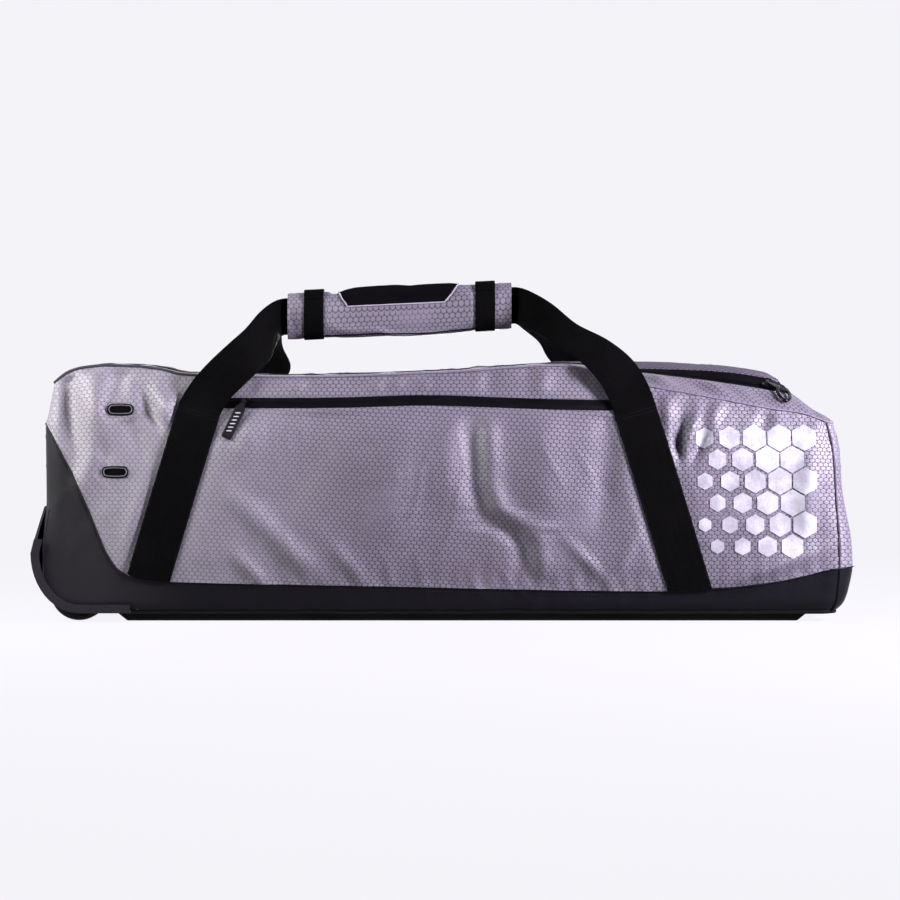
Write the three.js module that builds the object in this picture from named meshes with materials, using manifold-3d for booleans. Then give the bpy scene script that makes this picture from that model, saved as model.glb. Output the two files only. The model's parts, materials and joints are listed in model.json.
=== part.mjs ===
// A wheeled equipment bag standing on its base: soft sewn walls round one long compartment, a zipped
// lid, a zipped front pocket, two carry straps joined by a padded grip, and a moulded wheel corner.
// Millimetres, +Z up. +X points to the end without wheels, and the front with the pocket faces -Y.
import * as THREE from "three";
import { mergeVertices } from "three/addons/utils/BufferGeometryUtils.js";
import Module from "manifold-3d";

const wasm = await Module();
wasm.setup();

// Body sizes
const HALF_LENGTH = 517;
const HALF_DEPTH = 176;
const CORNER_RADIUS = 26;
const BASE_Z = 10;
const BASE_ROUND = 18;
const BASE_ROUND_TURN = Math.PI / 3;
const TOP_LEAN = 16;
const TOP_LEAN_START = 0.66;
const SIDE_SWELL = 9;
const FABRIC = 1.6;
const COATED = 2;
const SEAM_GAP = 0.5;
const TOP_GAP = 0.8;

// Height of the top seam and of the top's middle line along the bag
const TOP_LINE = [
  { x: -540, seam: 296, ridge: 298 },
  { x: -498, seam: 316, ridge: 322 },
  { x: -462, seam: 334, ridge: 338 },
  { x: -380, seam: 334, ridge: 338 },
  { x: -318, seam: 324, ridge: 330 },
  { x: -200, seam: 319, ridge: 326 },
  { x: 0, seam: 325, ridge: 332 },
  { x: 150, seam: 334, ridge: 342 },
  { x: 212, seam: 322, ridge: 344 },
  { x: 258, seam: 309, ridge: 344 },
  { x: 340, seam: 294, ridge: 339 },
  { x: 430, seam: 277, ridge: 326 },
  { x: 470, seam: 271, ridge: 300 },
  { x: 505, seam: 259, ridge: 272 },
  { x: 540, seam: 252, ridge: 258 },
];

// Height of the seam between the coated skirt and the grey walls
const SKIRT_LINE = [
  { x: -520, seam: 264 },
  { x: -476, seam: 183 },
  { x: -452, seam: 128 },
  { x: -437, seam: 92 },
  { x: -421, seam: 69 },
  { x: -402, seam: 58 },
  { x: -350, seam: 52 },
  { x: -150, seam: 48 },
  { x: 290, seam: 40 },
  { x: 350, seam: 43 },
  { x: 440, seam: 53 },
  { x: 520, seam: 72 },
];

// How far the two end walls stand out from their nominal plane at each height
const FAR_END_LEAN = [
  { z: 10, out: 2 },
  { z: 40, out: 12 },
  { z: 75, out: 16.5 },
  { z: 108, out: 14 },
  { z: 140, out: 6 },
  { z: 175, out: 0 },
  { z: 225, out: -4 },
  { z: 262, out: -14 },
];
const WHEEL_END_LEAN = [
  { z: 10, out: 8.4 },
  { z: 96, out: 8.4 },
  { z: 150, out: 0 },
  { z: 255, out: 0 },
  { z: 273, out: -6 },
  { z: 299, out: -14 },
  { z: 316, out: -22 },
  { z: 335, out: -40 },
];

// Soft folds of the front wall: middle, direction from level, half length, half width, depth outwards
const FOLDS = [
  { x: -470, z: 275, turn: 82, reach: 60, width: 16, depth: 5 },
  { x: -428, z: 318, turn: 60, reach: 40, width: 13, depth: -4 },
  { x: -448, z: 205, turn: 70, reach: 60, width: 18, depth: -4 },
  { x: -345, z: 285, turn: 55, reach: 46, width: 13, depth: -5 },
  { x: -240, z: 120, turn: 48, reach: 90, width: 22, depth: -5 },
  { x: -175, z: 150, turn: 62, reach: 80, width: 20, depth: 4 },
  { x: -90, z: 105, turn: 35, reach: 100, width: 24, depth: -5 },
  { x: -20, z: 190, turn: 78, reach: 70, width: 22, depth: 4 },
  { x: 60, z: 120, turn: 120, reach: 90, width: 24, depth: -4 },
  { x: 165, z: 105, turn: 58, reach: 80, width: 20, depth: -5 },
  { x: 345, z: 235, turn: 75, reach: 60, width: 20, depth: -4 },
  { x: 430, z: 110, turn: 30, reach: 80, width: 24, depth: -4 },
];

// Grid of the walls: spans along each side and rows up a wall
const FRONT_SPANS = 26;
const BACK_SPANS = 16;
const END_SPANS = 6;
const CORNER_STEPS = 2;
const FRONT_ROWS = 8;
const BACK_ROWS = 6;
const WHEEL_END_ROWS = 4;
const SKIRT_ROWS = 4;

// Lid, its zip and the strip round it
const LID_LEFT = -452;
const LID_RIGHT = 450;
const LID_HALF_DEPTH = 104;
const LID_CORNER = 24;
const LID_THICKNESS = 2.4;
const ZIP_WIDTH = 16;
const ZIP_THICKNESS = 1.4;
const COIL_RISE = 1.2;

// Front pocket between the straps
const POCKET_TOP = 277;
const POCKET_GAP = 0.7;
const POCKET_THICKNESS = 1.4;
const POCKET_ZIP_Z = 284.5;
const POCKET_ZIP_HEIGHT = 13;
const POCKET_SLIDER_X = -257;

// Carry straps: line of each leg on the wall, then the free rise to the grip
const WEBBING_WIDTH = 50;
const WEBBING = 2;
const STRAP_CLEARANCE = 0.8;
const LEFT_LEG = { footX: -381, headX: -304, footZ: 40, headZ: 276 };
const RIGHT_LEG = { footX: 322, headX: 243, footZ: 30, headZ: 276 };
const LEG_ROWS = 10;
const LEFT_RISE = [
  { x: -295, y: -178, z: 300, turn: 21 },
  { x: -283, y: -177, z: 322, turn: 29 },
  { x: -265, y: -168, z: 345, turn: 39 },
  { x: -248, y: -120, z: 367, turn: 50 },
  { x: -236, y: -66, z: 388, turn: 66 },
  { x: -228, y: -26, z: 401, turn: 80 },
  { x: -223, y: -7, z: 405, turn: 88 },
];
const RIGHT_RISE = [
  { x: 105, y: -7, z: 418, turn: 93 },
  { x: 115, y: -26, z: 413, turn: 99 },
  { x: 139, y: -62, z: 400, turn: 112 },
  { x: 166, y: -112, z: 379, turn: 127 },
  { x: 198, y: -160, z: 354, turn: 140 },
  { x: 221, y: -174, z: 328, turn: 152 },
  { x: 234, y: -177, z: 303, turn: 159 },
];
const STRAP_MEET = 0.4;
const STRAP_ENTRY = 5;

// Padded grip that holds the two straps together
const GRIP_LEFT = -212;
const GRIP_RIGHT = 94;
const GRIP_Z_LEFT = 407;
const GRIP_Z_RIGHT = 419;
const GRIP_HALF_HEIGHT = 33.5;
const GRIP_HALF_DEPTH = 15;
const GRIP_SLOT_HEIGHT = 25.5;
const GRIP_SLOT_DEPTH = 2.75;
const GRIP_SIDES = 16;
const GRIP_SPANS = 6;
const GRIP_MESH = { low: 6, lowLeft: -126, lowRight: -2, topLeft: -140, topRight: 18, thickness: 1.2 };
const GRIP_BAND_WIDTH = 27;
const GRIP_BAND = 2;
const GRIP_BANDS = [
  { name: "grip_band_left", x: -176 },
  { name: "grip_band_right", x: 58 },
];
const LAYER_GAP = 0.4;

// Moulded wheel corner
const WHEEL_X = -477;
const WHEEL_RADIUS = 38;
const WHEEL_Y = 132;
const WHEEL_WIDTH = 28;
const HUB_RADIUS = 27;
const AXLE_RADIUS = 4;
const WELL_RADIUS = 42.5;
const WELL_HALF_WIDTH = 17;
const MOULDED = 3;
const GUARD_LEFT = -533.5;
const GUARD_TURN_X = -470;
const GUARD_TURN_Z = 90;
const GUARD_BOTTOM = 12;
const GUARD_RIGHT = -405;
const GUARD_TOP = { x: -520.6, z: 150 };
const GUARD_LIP = { x: -529, z: 108 };
const GUARD_BAND = 11;
const GUARD_INSIDE_Y = 183;
const GUARD_TOP_HALF = 146;

// Runners, vents, end handle
const SKID = { left: -424, right: 476, y: 138, width: 26, slope: 12 };
const VENT = { length: 35, height: 16, border: 4, seat: 0.8, rise: 1.8 };
const VENTS = [
  { name: "upper", x: -418, z: 276 },
  { name: "lower", x: -424, z: 195 },
];
const END_HANDLE = { z: 200, width: 38, reach: 105, stand: 14.2, foot: 34, seat: 0.9, steps: 14 };

// Zip pulls
const SLIDER = { length: 13, width: 8.5, height: 3, ear: 1.4, earGap: 7, pin: 1.1, pinRise: 5.6 };
const POCKET_TAB = { length: 47, width: 12.5, thickness: 1.8, turn: 244, drop: 7 };
const LID_TAB = { length: 30, width: 10, thickness: 1.8, turn: 0, drop: 12 };
const LID_SLIDER_X = 428;

// Colours and finish of each material
const FINISH = {
  grey_fabric: { color: 0x8c8496, roughness: 0.7, metalness: 0 },
  coated_cloth: { color: 0x2b2a30, roughness: 0.55, metalness: 0 },
  webbing: { color: 0x151418, roughness: 0.8, metalness: 0 },
  zip_tape: { color: 0x131116, roughness: 0.75, metalness: 0 },
  moulded_plastic: { color: 0x232228, roughness: 0.5, metalness: 0 },
  wheel_rubber: { color: 0x1b1b1d, roughness: 0.7, metalness: 0 },
  hub_plastic: { color: 0x3a393e, roughness: 0.5, metalness: 0 },
  gunmetal: { color: 0x5d5b60, roughness: 0.3, metalness: 0.9 },
  padded_mesh: { color: 0x121114, roughness: 0.85, metalness: 0 },
  pull_rubber: { color: 0x18171b, roughness: 0.6, metalness: 0 },
};

const bag = new THREE.Group();

function addPiece(name, finish, geometry, parent = bag) {
  const mesh = new THREE.Mesh(geometry, new THREE.MeshStandardMaterial(FINISH[finish]));
  mesh.name = name;
  parent.add(mesh);
  return mesh;
}

// Value of one column of a table at a place along its key column, eased between the rows
function tableValue(table, key, column, at) {
  const last = table.length - 1;
  if (at <= table[0][key]) return table[0][column];
  if (at >= table[last][key]) return table[last][column];
  const i = table.findIndex((row) => row[key] > at) - 1;
  const slope = (k) => (table[k + 1][column] - table[k][column]) / (table[k + 1][key] - table[k][key]);
  const tangent = (k) => {
    if (k === 0) return slope(0);
    if (k === last) return slope(last - 1);
    const before = slope(k - 1);
    const after = slope(k);
    return before * after <= 0 ? 0 : (2 * before * after) / (before + after);
  };
  const span = table[i + 1][key] - table[i][key];
  const t = (at - table[i][key]) / span;
  const rise = t * t * (3 - 2 * t);
  const bend = span * (t * (1 - t) * (1 - t) * tangent(i) - t * t * (1 - t) * tangent(i + 1));
  return table[i][column] + rise * (table[i + 1][column] - table[i][column]) + bend;
}

// Closed solid from triangles over shared points, turned so that its faces point out
function solidGeometry(points, triangles) {
  let volume = 0;
  for (const [a, b, c] of triangles) {
    volume += points[a].dot(new THREE.Vector3().crossVectors(points[b], points[c]));
  }
  const facing = volume > 0 ? triangles : triangles.map(([a, b, c]) => [a, c, b]);
  const geometry = new THREE.BufferGeometry();
  geometry.setFromPoints(points);
  geometry.setIndex(facing.flat());
  return geometry;
}

// Closed sheet between an outer and an inner face that share one grid, with rims along its edges.
// With loop set, the last column joins the first.
function sheet(columns, rows, outer, inner, loop = false) {
  const points = [];
  for (const face of [outer, inner]) {
    for (let i = 0; i < columns; i++) {
      for (let j = 0; j < rows; j++) points.push(face(i, j));
    }
  }
  const half = columns * rows;
  const out = (i, j) => (i % columns) * rows + j;
  const back = (i, j) => half + out(i, j);
  const triangles = [];
  const quad = (a, b, c, d) => triangles.push([a, b, c], [a, c, d]);
  const spans = loop ? columns : columns - 1;
  const top = rows - 1;
  for (let i = 0; i < spans; i++) {
    for (let j = 0; j < top; j++) {
      quad(out(i, j), out(i + 1, j), out(i + 1, j + 1), out(i, j + 1));
      quad(back(i, j), back(i, j + 1), back(i + 1, j + 1), back(i + 1, j));
    }
    quad(out(i, 0), back(i, 0), back(i + 1, 0), out(i + 1, 0));
    quad(out(i, top), out(i + 1, top), back(i + 1, top), back(i, top));
  }
  if (!loop) {
    const end = columns - 1;
    for (let j = 0; j < top; j++) {
      quad(out(0, j), out(0, j + 1), back(0, j + 1), back(0, j));
      quad(out(end, j), back(end, j), back(end, j + 1), out(end, j + 1));
    }
  }
  return solidGeometry(points, triangles);
}

function toSolid(geometry) {
  const bare = geometry.clone();
  bare.deleteAttribute("normal");
  bare.deleteAttribute("uv");
  const merged = mergeVertices(bare, 1e-4);
  return new wasm.Manifold(
    new wasm.Mesh({
      numProp: 3,
      vertProperties: new Float32Array(merged.attributes.position.array),
      triVerts: new Uint32Array(merged.index.array),
    }),
  );
}

function toGeometry(solid) {
  const { vertProperties, triVerts } = solid.getMesh();
  const geometry = new THREE.BufferGeometry();
  geometry.setAttribute("position", new THREE.BufferAttribute(new Float32Array(vertProperties), 3));
  geometry.setIndex(new THREE.BufferAttribute(new Uint32Array(triVerts), 1));
  return geometry;
}

// Flat outline in the XZ plane, extruded along Y from one depth to another
function prismAlongY(outline, fromY, toY, curveSegments = 12) {
  const shape = outline instanceof THREE.Shape ? outline : new THREE.Shape(outline);
  const geometry = new THREE.ExtrudeGeometry(shape, {
    depth: toY - fromY,
    bevelEnabled: false,
    curveSegments,
  });
  geometry.rotateX(Math.PI / 2);
  geometry.translate(0, toY, 0);
  return geometry;
}

function cylinderAlongY(radius, fromY, toY, x, z, sides) {
  const geometry = new THREE.CylinderGeometry(radius, radius, toY - fromY, sides);
  geometry.translate(x, (fromY + toY) / 2, 0);
  geometry.translate(0, 0, z);
  return geometry;
}

// Plan outline: samples round the bag, each with its place, outward direction and side
function planSide(name, along, outward, halfSpan, halfOut, spans) {
  const samples = [];
  const straight = halfSpan - CORNER_RADIUS;
  const add = (turn, run) => {
    const normal = outward.clone().multiplyScalar(Math.cos(turn)).addScaledVector(along, Math.sin(turn));
    const place = outward.clone().multiplyScalar(halfOut - CORNER_RADIUS);
    place.addScaledVector(along, run).addScaledVector(normal, CORNER_RADIUS);
    samples.push({ side: name, x: place.x, y: place.y, normal });
  };
  for (let k = 0; k < CORNER_STEPS; k++) add((-Math.PI / 4) * (1 - k / CORNER_STEPS), -straight);
  for (let k = 0; k <= spans; k++) add(0, -straight + (2 * straight * k) / spans);
  for (let k = 1; k <= CORNER_STEPS; k++) add(((Math.PI / 4) * k) / CORNER_STEPS, straight);
  return samples;
}

const PLUS_X = new THREE.Vector3(1, 0, 0);
const PLUS_Y = new THREE.Vector3(0, 1, 0);
const PLUS_Z = new THREE.Vector3(0, 0, 1);
const MINUS_X = new THREE.Vector3(-1, 0, 0);
const MINUS_Y = new THREE.Vector3(0, -1, 0);
const FRONT = planSide("front", PLUS_X, MINUS_Y, HALF_LENGTH, HALF_DEPTH, FRONT_SPANS);
const FAR_END = planSide("far", PLUS_Y, PLUS_X, HALF_DEPTH, HALF_LENGTH, END_SPANS);
const BACK = planSide("back", MINUS_X, PLUS_Y, HALF_LENGTH, HALF_DEPTH, BACK_SPANS);
const WHEEL_END = planSide("wheel", MINUS_Y, MINUS_X, HALF_DEPTH, HALF_LENGTH, END_SPANS);
// The sides meet at shared corner points, so the loop leaves out each side's last sample
const LOOP = [FRONT, FAR_END, BACK, WHEEL_END].flatMap((side) => side.slice(0, -1));

// How strongly the front wall may fold: none under the carry straps and near the vents
function foldFreedom(x, z) {
  let freedom = 1;
  for (const leg of [LEFT_LEG, RIGHT_LEG]) {
    const t = (z - leg.footZ) / (leg.headZ - leg.footZ);
    const away = Math.abs(x - (leg.footX + t * (leg.headX - leg.footX)));
    freedom *= THREE.MathUtils.smoothstep(away, WEBBING_WIDTH * 0.62, WEBBING_WIDTH * 1.3);
  }
  for (const vent of VENTS) {
    const away = Math.hypot(x - vent.x, z - vent.z);
    freedom *= THREE.MathUtils.smoothstep(away, VENT.length * 0.6, VENT.length * 1.5);
  }
  freedom *= THREE.MathUtils.smoothstep(Math.abs(z - POCKET_ZIP_Z), POCKET_ZIP_HEIGHT, 3 * POCKET_ZIP_HEIGHT);
  return freedom * THREE.MathUtils.smoothstep(seamTop(x) - z, 2, 24);
}

function foldDepth(x, z) {
  let depth = 0;
  for (const fold of FOLDS) {
    const turn = THREE.MathUtils.degToRad(fold.turn);
    const along = (x - fold.x) * Math.cos(turn) + (z - fold.z) * Math.sin(turn);
    const across = (z - fold.z) * Math.cos(turn) - (x - fold.x) * Math.sin(turn);
    depth += fold.depth * Math.exp(-((along / fold.reach) ** 2) - (across / fold.width) ** 2);
  }
  return depth * foldFreedom(x, z);
}

const seamTop = (x) => tableValue(TOP_LINE, "x", "seam", x);
const ridgeTop = (x) => tableValue(TOP_LINE, "x", "ridge", x);

// Outward offset of the body's skin from its plan outline at a height
function skinOffset(sample, z) {
  const top = seamTop(sample.x);
  const t = THREE.MathUtils.clamp((z - BASE_Z) / (top - BASE_Z), 0, 1);
  const nearEnd = THREE.MathUtils.smoothstep(HALF_LENGTH - Math.abs(sample.x), 0, 120);
  const lean = TOP_LEAN * Math.max(0, (t - TOP_LEAN_START) / (1 - TOP_LEAN_START)) ** 2;
  const side = SIDE_SWELL * nearEnd * Math.sin(Math.PI * t) - lean;
  const endTable = sample.normal.x > 0 ? FAR_END_LEAN : WHEEL_END_LEAN;
  const end = tableValue(endTable, "z", "out", z);
  const below = Math.max(0, BASE_Z + BASE_ROUND - z);
  const round = BASE_ROUND - Math.sqrt(Math.max(0, BASE_ROUND ** 2 - below ** 2));
  return sample.normal.x ** 2 * end + sample.normal.y ** 2 * side - round;
}

// Point of the body's skin over a plan sample, a stated depth inside it
function skinPoint(sample, z, inset) {
  const step = 0.5;
  const { normal } = sample;
  const slope = (skinOffset(sample, z + step) - skinOffset(sample, z - step)) / (2 * step);
  const facing = new THREE.Vector3(normal.x, normal.y, -slope).normalize();
  const place = new THREE.Vector3(sample.x, sample.y, z).addScaledVector(normal, skinOffset(sample, z));
  const flatness = Math.max(0, 2 * normal.y ** 2 - 1);
  const fold = sample.side === "front" ? foldDepth(place.x, z) * flatness : 0;
  return place.addScaledVector(facing, fold - inset);
}

// Point of the front wall straight above a place on its flat stretch
function frontPoint(x, z, inset) {
  return skinPoint({ side: "front", x, y: -HALF_DEPTH, normal: MINUS_Y }, z, inset);
}

// Height of the top over any place in plan
function topHeight(x, y) {
  const across = Math.min(1, Math.abs(y) / (HALF_DEPTH - TOP_LEAN));
  return seamTop(x) + (ridgeTop(x) - seamTop(x)) * (1 - across ** 2.3);
}

// Height of the top edge of a wall over a plan sample, found where the skin meets the top
function wallTop(sample) {
  let z = seamTop(sample.x);
  for (let pass = 0; pass < 3; pass++) {
    const offset = skinOffset(sample, z);
    z = topHeight(sample.x + sample.normal.x * offset, sample.y + sample.normal.y * offset);
  }
  return z;
}

const skirtTop = (sample) => tableValue(SKIRT_LINE, "x", "seam", sample.x);

// Height of the skirt's lower edge: round the base, and clear of the moulded corner at the wheels
function skirtFoot(sample) {
  const plain = BASE_Z + BASE_ROUND * (1 - Math.sin(BASE_ROUND_TURN));
  if (sample.side === "wheel" && Math.abs(sample.y) < HALF_DEPTH - 0.6 * CORNER_RADIUS) {
    return GUARD_TURN_Z + MOULDED * 2;
  }
  const clear = MOULDED + 1.5;
  const span = (2 * HALF_LENGTH) / FRONT_SPANS;
  if (sample.x > GUARD_RIGHT + span) return plain;
  const x = sample.x + sample.normal.x * skinOffset(sample, GUARD_TURN_Z);
  const run = Math.max(0, GUARD_TURN_X - x) / (GUARD_TURN_X - GUARD_LEFT - clear);
  const drop = (GUARD_TURN_Z - GUARD_BOTTOM - clear) * Math.sqrt(Math.max(0, 1 - run ** 2));
  return GUARD_TURN_Z - drop;
}

// Wall over a run of plan samples, from one height to another
function wallPanel(samples, rows, lowAt, highAt, outerInset, innerInset, loop = false) {
  const lows = samples.map(lowAt);
  const highs = samples.map(highAt);
  const height = (i, j) => lows[i] + ((highs[i] - lows[i]) * j) / (rows - 1);
  const outer = (i, j) => skinPoint(samples[i], height(i, j), outerInset);
  const inner = (i, j) => skinPoint(samples[i], height(i, j), innerInset);
  return sheet(samples.length, rows, outer, inner, loop);
}

// Draw a side's end samples back from the corner seam, so that two walls keep a gap there
function seamedSide(samples) {
  const shift = (sample, next) => {
    const along = new THREE.Vector2(next.x - sample.x, next.y - sample.y).normalize();
    return { ...sample, x: sample.x + along.x * SEAM_GAP, y: sample.y + along.y * SEAM_GAP };
  };
  const last = samples.length - 1;
  return samples.map((sample, i) => {
    if (i === 0) return shift(sample, samples[1]);
    if (i === last) return shift(sample, samples[last - 1]);
    return sample;
  });
}

const panelFoot = (sample) => skirtTop(sample) + SEAM_GAP;

// Outline of the front pocket in the XZ plane, from strap to strap
function pocketOutline() {
  const legX = (leg, z) => leg.footX + ((z - leg.footZ) / (leg.headZ - leg.footZ)) * (leg.headX - leg.footX);
  const foot = 20;
  return [
    new THREE.Vector2(legX(LEFT_LEG, foot), foot),
    new THREE.Vector2(legX(RIGHT_LEG, foot), foot),
    new THREE.Vector2(legX(RIGHT_LEG, POCKET_TOP), POCKET_TOP),
    new THREE.Vector2(legX(LEFT_LEG, POCKET_TOP), POCKET_TOP),
  ];
}

function stadium(length, height, x, z) {
  const radius = height / 2;
  const reach = length / 2 - radius;
  const shape = new THREE.Shape();
  shape.absarc(x + reach, z, radius, -Math.PI / 2, Math.PI / 2);
  shape.absarc(x - reach, z, radius, Math.PI / 2, (3 * Math.PI) / 2);
  return shape;
}

// Vent parts lie on the front wall, turned to its slope there
function ventPlace(vent) {
  const holder = new THREE.Group();
  const reach = VENT.length / 2;
  const along = frontPoint(vent.x + reach, vent.z, 0).sub(frontPoint(vent.x - reach, vent.z, 0)).normalize();
  const up = frontPoint(vent.x, vent.z + reach, 0).sub(frontPoint(vent.x, vent.z - reach, 0));
  const inward = new THREE.Vector3().crossVectors(up, along).normalize();
  holder.position.copy(frontPoint(vent.x, vent.z, 0));
  const frame = new THREE.Matrix4().makeBasis(along, inward, new THREE.Vector3().crossVectors(along, inward));
  holder.quaternion.setFromRotationMatrix(frame);
  bag.add(holder);
  return holder;
}

function buildWalls() {
  const front = seamedSide(FRONT);
  let frontSolid = toSolid(wallPanel(front, FRONT_ROWS, panelFoot, wallTop, 0, FABRIC));
  const reach = 60;
  for (const vent of VENTS) {
    const hole = stadium(VENT.length - VENT.border, VENT.height - VENT.border, vent.x, vent.z);
    const middleY = frontPoint(vent.x, vent.z, 0).y;
    frontSolid = frontSolid.subtract(toSolid(prismAlongY(hole, middleY - reach, middleY + reach, 4)));
  }
  addPiece("front_panel", "grey_fabric", toGeometry(frontSolid));
  const greyWall = (name, side, rows) => {
    addPiece(name, "grey_fabric", wallPanel(seamedSide(side), rows, panelFoot, wallTop, 0, FABRIC));
  };
  greyWall("far_end_panel", FAR_END, BACK_ROWS);
  greyWall("back_panel", BACK, BACK_ROWS);
  greyWall("wheel_end_panel", WHEEL_END, WHEEL_END_ROWS);
  addPiece("base_skirt", "coated_cloth", wallPanel(LOOP, SKIRT_ROWS, skirtFoot, skirtTop, 0, COATED, true));

  const layerIn = -POCKET_GAP;
  const layerOut = layerIn - POCKET_THICKNESS;
  const layer = toSolid(wallPanel(front, FRONT_ROWS, panelFoot, wallTop, layerOut, layerIn));
  const cut = toSolid(prismAlongY(pocketOutline(), -HALF_DEPTH - reach, -HALF_DEPTH + reach));
  addPiece("pocket_panel", "grey_fabric", toGeometry(layer.intersect(cut)));
}

function buildBase() {
  const edge = BASE_ROUND * (1 - Math.cos(BASE_ROUND_TURN)) + 0.7;
  const right = HALF_LENGTH - edge + tableValue(FAR_END_LEAN, "z", "out", BASE_Z + 2);
  const depth = HALF_DEPTH - edge;
  const left = GUARD_RIGHT + 2;
  const corner = CORNER_RADIUS - 6;
  const outline = new THREE.Shape();
  outline.moveTo(left, depth);
  outline.lineTo(left, -depth);
  outline.absarc(right - corner, -depth + corner, corner, -Math.PI / 2, 0);
  outline.absarc(right - corner, depth - corner, corner, 0, Math.PI / 2);
  const floor = new THREE.ExtrudeGeometry(outline, { depth: 2.2, bevelEnabled: false, curveSegments: 4 });
  floor.translate(0, 0, BASE_Z);
  addPiece("base_panel", "coated_cloth", floor);

  const top = BASE_Z - SEAM_GAP;
  const run = [
    new THREE.Vector2(SKID.left, top),
    new THREE.Vector2(SKID.left + SKID.slope, 0),
    new THREE.Vector2(SKID.right - SKID.slope, 0),
    new THREE.Vector2(SKID.right, top),
  ];
  for (const [name, y] of [["skid_front", -SKID.y], ["skid_back", SKID.y]]) {
    addPiece(name, "moulded_plastic", prismAlongY(run, y - SKID.width / 2, y + SKID.width / 2));
  }
}

// Rounded outline in plan, sampled by direction so that it pairs with the walls' samples
function lidOutline(sample, grow) {
  const left = LID_LEFT - grow;
  const right = LID_RIGHT + grow;
  const depth = LID_HALF_DEPTH + grow;
  const corner = LID_CORNER + grow;
  const midX = (left + right) / 2;
  const halfX = (right - left) / 2 - corner;
  const halfY = depth - corner;
  const { normal } = sample;
  const straight = HALF_LENGTH - CORNER_RADIUS;
  const along = THREE.MathUtils.clamp(sample.x / straight, -1, 1);
  const across = THREE.MathUtils.clamp(sample.y / (HALF_DEPTH - CORNER_RADIUS), -1, 1);
  return new THREE.Vector2(midX + along * halfX + normal.x * corner, across * halfY + normal.y * corner);
}

// Point on the top at a plan place, raised by a stated amount
function topPoint(place, rise) {
  return new THREE.Vector3(place.x, place.y, topHeight(place.x, place.y) + rise);
}

function buildTop() {
  const rise = TOP_GAP;
  const rims = LOOP.map((sample) => skinPoint(sample, wallTop(sample), 0));
  const rows = 3;
  const place = (i, j) => {
    const outer = new THREE.Vector2(rims[i].x, rims[i].y);
    return outer.lerp(lidOutline(LOOP[i], ZIP_WIDTH + SEAM_GAP), j / (rows - 1));
  };
  const gusset = sheet(
    LOOP.length,
    rows,
    (i, j) => topPoint(place(i, j), rise + FABRIC),
    (i, j) => topPoint(place(i, j), rise),
    true,
  );
  addPiece("top_gusset", "grey_fabric", gusset);

  const zipPlaces = [ZIP_WIDTH, ZIP_WIDTH / 2, 0];
  const zipRise = [0, COIL_RISE, 0];
  const zip = sheet(
    LOOP.length,
    zipPlaces.length,
    (i, j) => topPoint(lidOutline(LOOP[i], zipPlaces[j]), rise + ZIP_THICKNESS + zipRise[j]),
    (i, j) => topPoint(lidOutline(LOOP[i], zipPlaces[j]), rise),
    true,
  );
  addPiece("lid_zip", "zip_tape", zip);

  const leftCorner = WHEEL_END.slice(-CORNER_STEPS - 1, -1);
  const rightCorner = FAR_END.slice(1, CORNER_STEPS + 1);
  const front = [...leftCorner, ...FRONT, ...rightCorner].map((sample) => lidOutline(sample, -SEAM_GAP));
  const lidRows = 5;
  const spread = (i, j) => {
    const v = 1 - (2 * j) / (lidRows - 1);
    return new THREE.Vector2(front[i].x, front[i].y * v);
  };
  const lid = sheet(
    front.length,
    lidRows,
    (i, j) => topPoint(spread(i, j), rise + LID_THICKNESS),
    (i, j) => topPoint(spread(i, j), rise),
  );
  addPiece("lid", "grey_fabric", lid);
}

// Webbing: rows of three points across the band, made into a closed ribbon that thickens to one side
function ribbon(rows, thickness, side) {
  const facing = rows.map((row, k) => {
    if (row.facing) return row.facing;
    const before = rows[Math.max(0, k - 1)].points[1];
    const after = rows[Math.min(rows.length - 1, k + 1)].points[1];
    const along = new THREE.Vector3().subVectors(after, before);
    const across = new THREE.Vector3().subVectors(row.points[2], row.points[0]);
    return along.cross(across).normalize().multiplyScalar(side);
  });
  return sheet(
    rows.length,
    3,
    (k, j) => rows[k].points[j].clone().addScaledVector(facing[k], thickness),
    (k, j) => rows[k].points[j],
  );
}

// Height of the grip's middle line
function gripZ(x) {
  const t = (x - GRIP_LEFT) / (GRIP_RIGHT - GRIP_LEFT);
  return GRIP_Z_LEFT + t * (GRIP_Z_RIGHT - GRIP_Z_LEFT);
}

const BAND_PLACES = [-0.5, 0, 0.5].map((share) => share * WEBBING_WIDTH);

// Three points across a free stretch of webbing, whose width turns in the XZ plane
function bandPoints({ x, y, z, turn }) {
  const angle = THREE.MathUtils.degToRad(turn);
  return BAND_PLACES.map((a) => new THREE.Vector3(x + a * Math.cos(angle), y, z - a * Math.sin(angle)));
}

// Rows of one leg on the wall, from its foot at the skirt seam up to its head
function legRows(leg, inset) {
  const rise = leg.headZ - leg.footZ;
  const lean = (leg.headX - leg.footX) / rise;
  const turn = Math.atan(lean);
  const width = BAND_PLACES.map((a) => (lean > 0 ? a : -a));
  const rows = [];
  for (let k = 0; k < LEG_ROWS; k++) {
    const points = width.map((a) => {
      const edgeX = leg.footX + a * Math.cos(turn);
      const foot = skirtTop({ x: edgeX }) + SEAM_GAP;
      const head = leg.headZ - a * Math.sin(turn);
      const z = foot + ((head - foot) * k) / (LEG_ROWS - 1);
      const x = leg.footX + a / Math.cos(turn) + (z - leg.footZ) * lean;
      return frontPoint(x, z, inset);
    });
    rows.push({ points });
  }
  return rows;
}

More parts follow.
